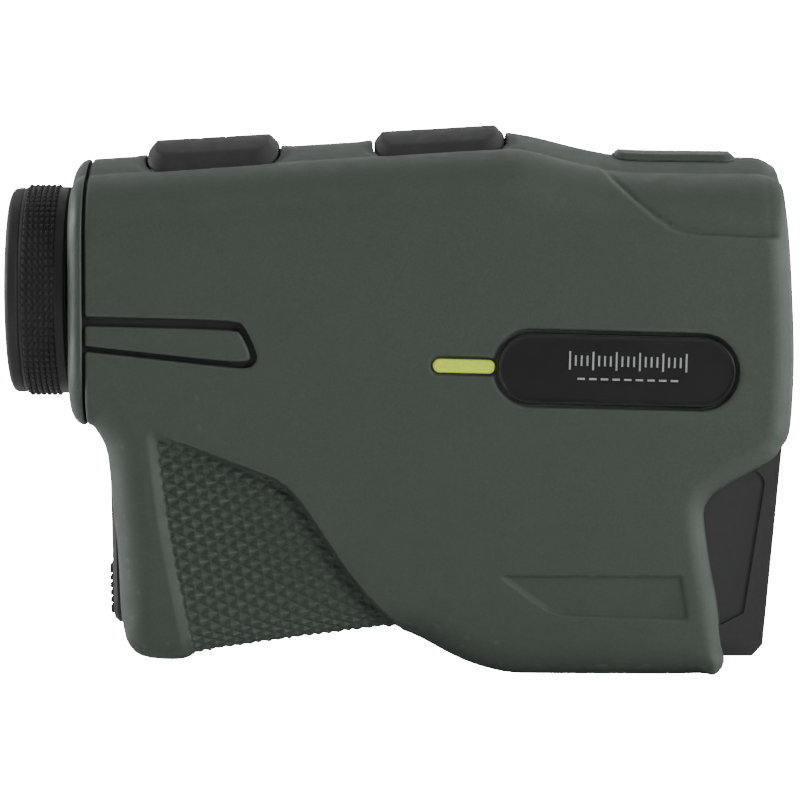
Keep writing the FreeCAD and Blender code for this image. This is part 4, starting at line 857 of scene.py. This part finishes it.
def eyecup():
    """Rubber ring with a rolled rim, on a thin sleeve."""
    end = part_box("eyecup")[0].x / MM
    corners = [(end, 9.9), (end, 13.6), (end + 0.5, 14.45), (end + 1.85, 14.55), (end + 2.25, 14.0),
               (-80.92, EYECUP_R), (-76.5, EYECUP_R), (-76.5, EYECUP_R - 0.6), (-81.0, EYECUP_R - 0.6),
               (-81.0, 12.0), (-80.2, 11.0), (-80.2, 9.7)]
    obj = lathe("eyecup_rim", rounded_profile(corners, 0.45), MATERIALS["eyecup_rubber"], EYE_Z)
    return piece(obj, "eyecup", "eyecup_rubber", "eyecup")


def diopter_grip():
    """Rubber sleeve: six knurled bands with plain lands at each end."""
    start, end = -81.5, -74.95
    bands = [(start + 0.5 + BAND_PITCH * k, start + 1.14 + BAND_PITCH * k) for k in range(6)]
    xs = np.linspace(start, end, 110)
    profile = [(x, 0.0) for x in xs] + [(end, SLEEVE_BORE_R), (start, SLEEVE_BORE_R)]

    def relief(x, r, a):
        if r > 0:
            return r
        radius = SLEEVE_R - 0.2 * max(0, (start + 0.35 - x) / 0.35) - 0.3 * max(0, (x - end + 0.3) / 0.3)
        for lo, hi in bands:
            across = min(x - lo, hi - x) / 0.14
            if across > 0:
                tooth = 0.5 + 0.5 * math.tanh(2.2 * math.cos(SLEEVE_TEETH * a) + 0.9)
                radius = 14.5 + 0.5 * min(across, 1.0) * (0.2 + 0.8 * tooth)
        return radius

    obj = lathe("diopter_sleeve", profile, MATERIALS["grip_rubber"], EYE_Z, SLEEVE_TEETH * 8, relief)
    return piece(obj, "diopter", "grip_rubber", "diopter_grip")


# ---------------------------------------------------------------- parts that keep their shape
EDGE_MM = {"front_bezel": 0.75, "battery_door": 0.35, "door_latch": 0.22, "chassis_right": 0.2, "chassis_left": 0.2,
           "tripod_bush": 0.15, "objective_retaining_ring": 0.15, "objective_barrel": 0.15}


def dress_cad_nodes():
    """Materials for every part of the mechanism, and softened edges where they show."""
    slots = {s["node"]: s["material_slot"] for s in frame["record"]["subparts"]}
    for name, obj in NODES.items():
        obj.data.materials.clear()
        obj.data.materials.append(MATERIALS[slots[name]])
        if name in EDGE_MM:
            weld = obj.modifiers.new("weld", "WELD")
            weld.merge_threshold = 0.00001
            bevel = obj.modifiers.new("edge", "BEVEL")
            bevel.width = EDGE_MM[name] * MM
            bevel.segments = 3
            bevel.limit_method = "ANGLE"
            bevel.angle_limit = math.radians(35)
            bevel.harden_normals = False


# ---------------------------------------------------------------- studio
SWEEP_GLOW = 30.0


def area_light(name, at, target, size, power, colour=(1, 1, 1)):
    lamp = bpy.data.lights.new(name, "AREA")
    lamp.shape = "RECTANGLE"
    lamp.size, lamp.size_y = size
    lamp.energy = power
    lamp.color = colour
    obj = bpy.data.objects.new(name, lamp)
    obj.location = at
    obj.rotation_euler = (Vector(target) - Vector(at)).to_track_quat("-Z", "Y").to_euler()
    bpy.context.scene.collection.objects.link(obj)
    return obj


def backdrop():
    """Pale sweep: a floor that curves up into the wall behind."""
    profile = [(-1.6, 0.0), (0.5, 0.0)]
    for i in range(1, 13):
        a = math.pi / 2 * i / 12
        profile.append((0.5 + 0.4 * math.sin(a), 0.4 - 0.4 * math.cos(a)))
    profile.append((0.9, 1.8))
    verts, faces = [], []
    for y, z in profile:
        verts += [(-2200.0, y / MM, z / MM - 0.02), (2200.0, y / MM, z / MM - 0.02)]
    for i in range(len(profile) - 1):
        faces.append((2 * i, 2 * i + 1, 2 * i + 3, 2 * i + 2))
    s = Shader("sweep")
    tone = s.ramp(s.noise(300.0, 2.0), 0.3, 0.7, (0.90, 0.90, 0.90), (0.93, 0.93, 0.93))
    s.set(Base_Color=tone, Roughness=0.85)
    seen = s.add("ShaderNodeLightPath").outputs["Is Camera Ray"]
    s.bsdf.inputs["Emission Color"].default_value = (1, 1, 1, 1)
    glow = s.add("ShaderNodeMath", operation="MULTIPLY")
    glow.inputs[1].default_value = SWEEP_GLOW
    s.link(seen, glow.inputs[0])
    s.link(glow.outputs[0], s.bsdf.inputs["Emission Strength"])
    obj = make_object("sweep", verts, faces, s.material)
    return obj


def studio():
    backdrop()
    centre = (-0.0285, 0, 0.037)
    area_light("rim_top", (-0.02, 0.42, 0.60), centre, (0.8, 0.3), 0.35)
    area_light("left_end", (-0.68, 0.12, 0.16), centre, (0.35, 0.5), 5.0)
    area_light("right_end", (0.68, -0.03, 0.16), centre, (0.35, 0.5), 6.0)
    area_light("key", (0.60, -0.62, 0.24), centre, (0.22, 0.22), 3.0)
    area_light("fill", (-0.10, -0.45, 0.60), centre, (0.6, 0.3), 1.0)
    area_light("wall", (0.0, 0.35, 0.9), (0.0, 0.9, 0.1), (1.6, 0.5), 2.5)
    world = bpy.data.worlds.new("studio")
    world.use_nodes = True
    world.node_tree.nodes["Background"].inputs["Color"].default_value = (1, 1, 1, 1)
    world.node_tree.nodes["Background"].inputs["Strength"].default_value = 0.14
    bpy.context.scene.world = world


def camera():
    """Level view of the user's right-hand side from a little above, through a long lens."""
    target = Vector((-0.0285, 0.0, 0.0373))
    distance, elevation = 0.543, math.radians(3.5)
    data = bpy.data.cameras.new("camera")
    data.sensor_width = 36.0
    data.lens = 36.0 * distance / 0.114
    data.clip_start, data.clip_end = 0.01, 20.0
    obj = bpy.data.objects.new("camera", data)
    obj.location = target + Vector((0, -math.cos(elevation), math.sin(elevation))) * distance
    obj.rotation_euler = (target - obj.location).to_track_quat("-Z", "Y").to_euler()
    bpy.context.scene.collection.objects.link(obj)
    bpy.context.scene.camera = obj


dress_cad_nodes()
for half in (-1, 1):
    armour(half)
both_sides("wedge_inlays", side_inlay(), "armour_green", "side_inlays")
both_sides("side_plates", nameplate_net(), "plate_black", "nameplates")
both_sides("lime_bars", accent_net(), "accent_lime", "accent_bars")
for button_name in BUTTONS:
    button(button_name)
rear_cap()
top_pad()
eyecup()
diopter_grip()
scale_marks()
studio()
camera()
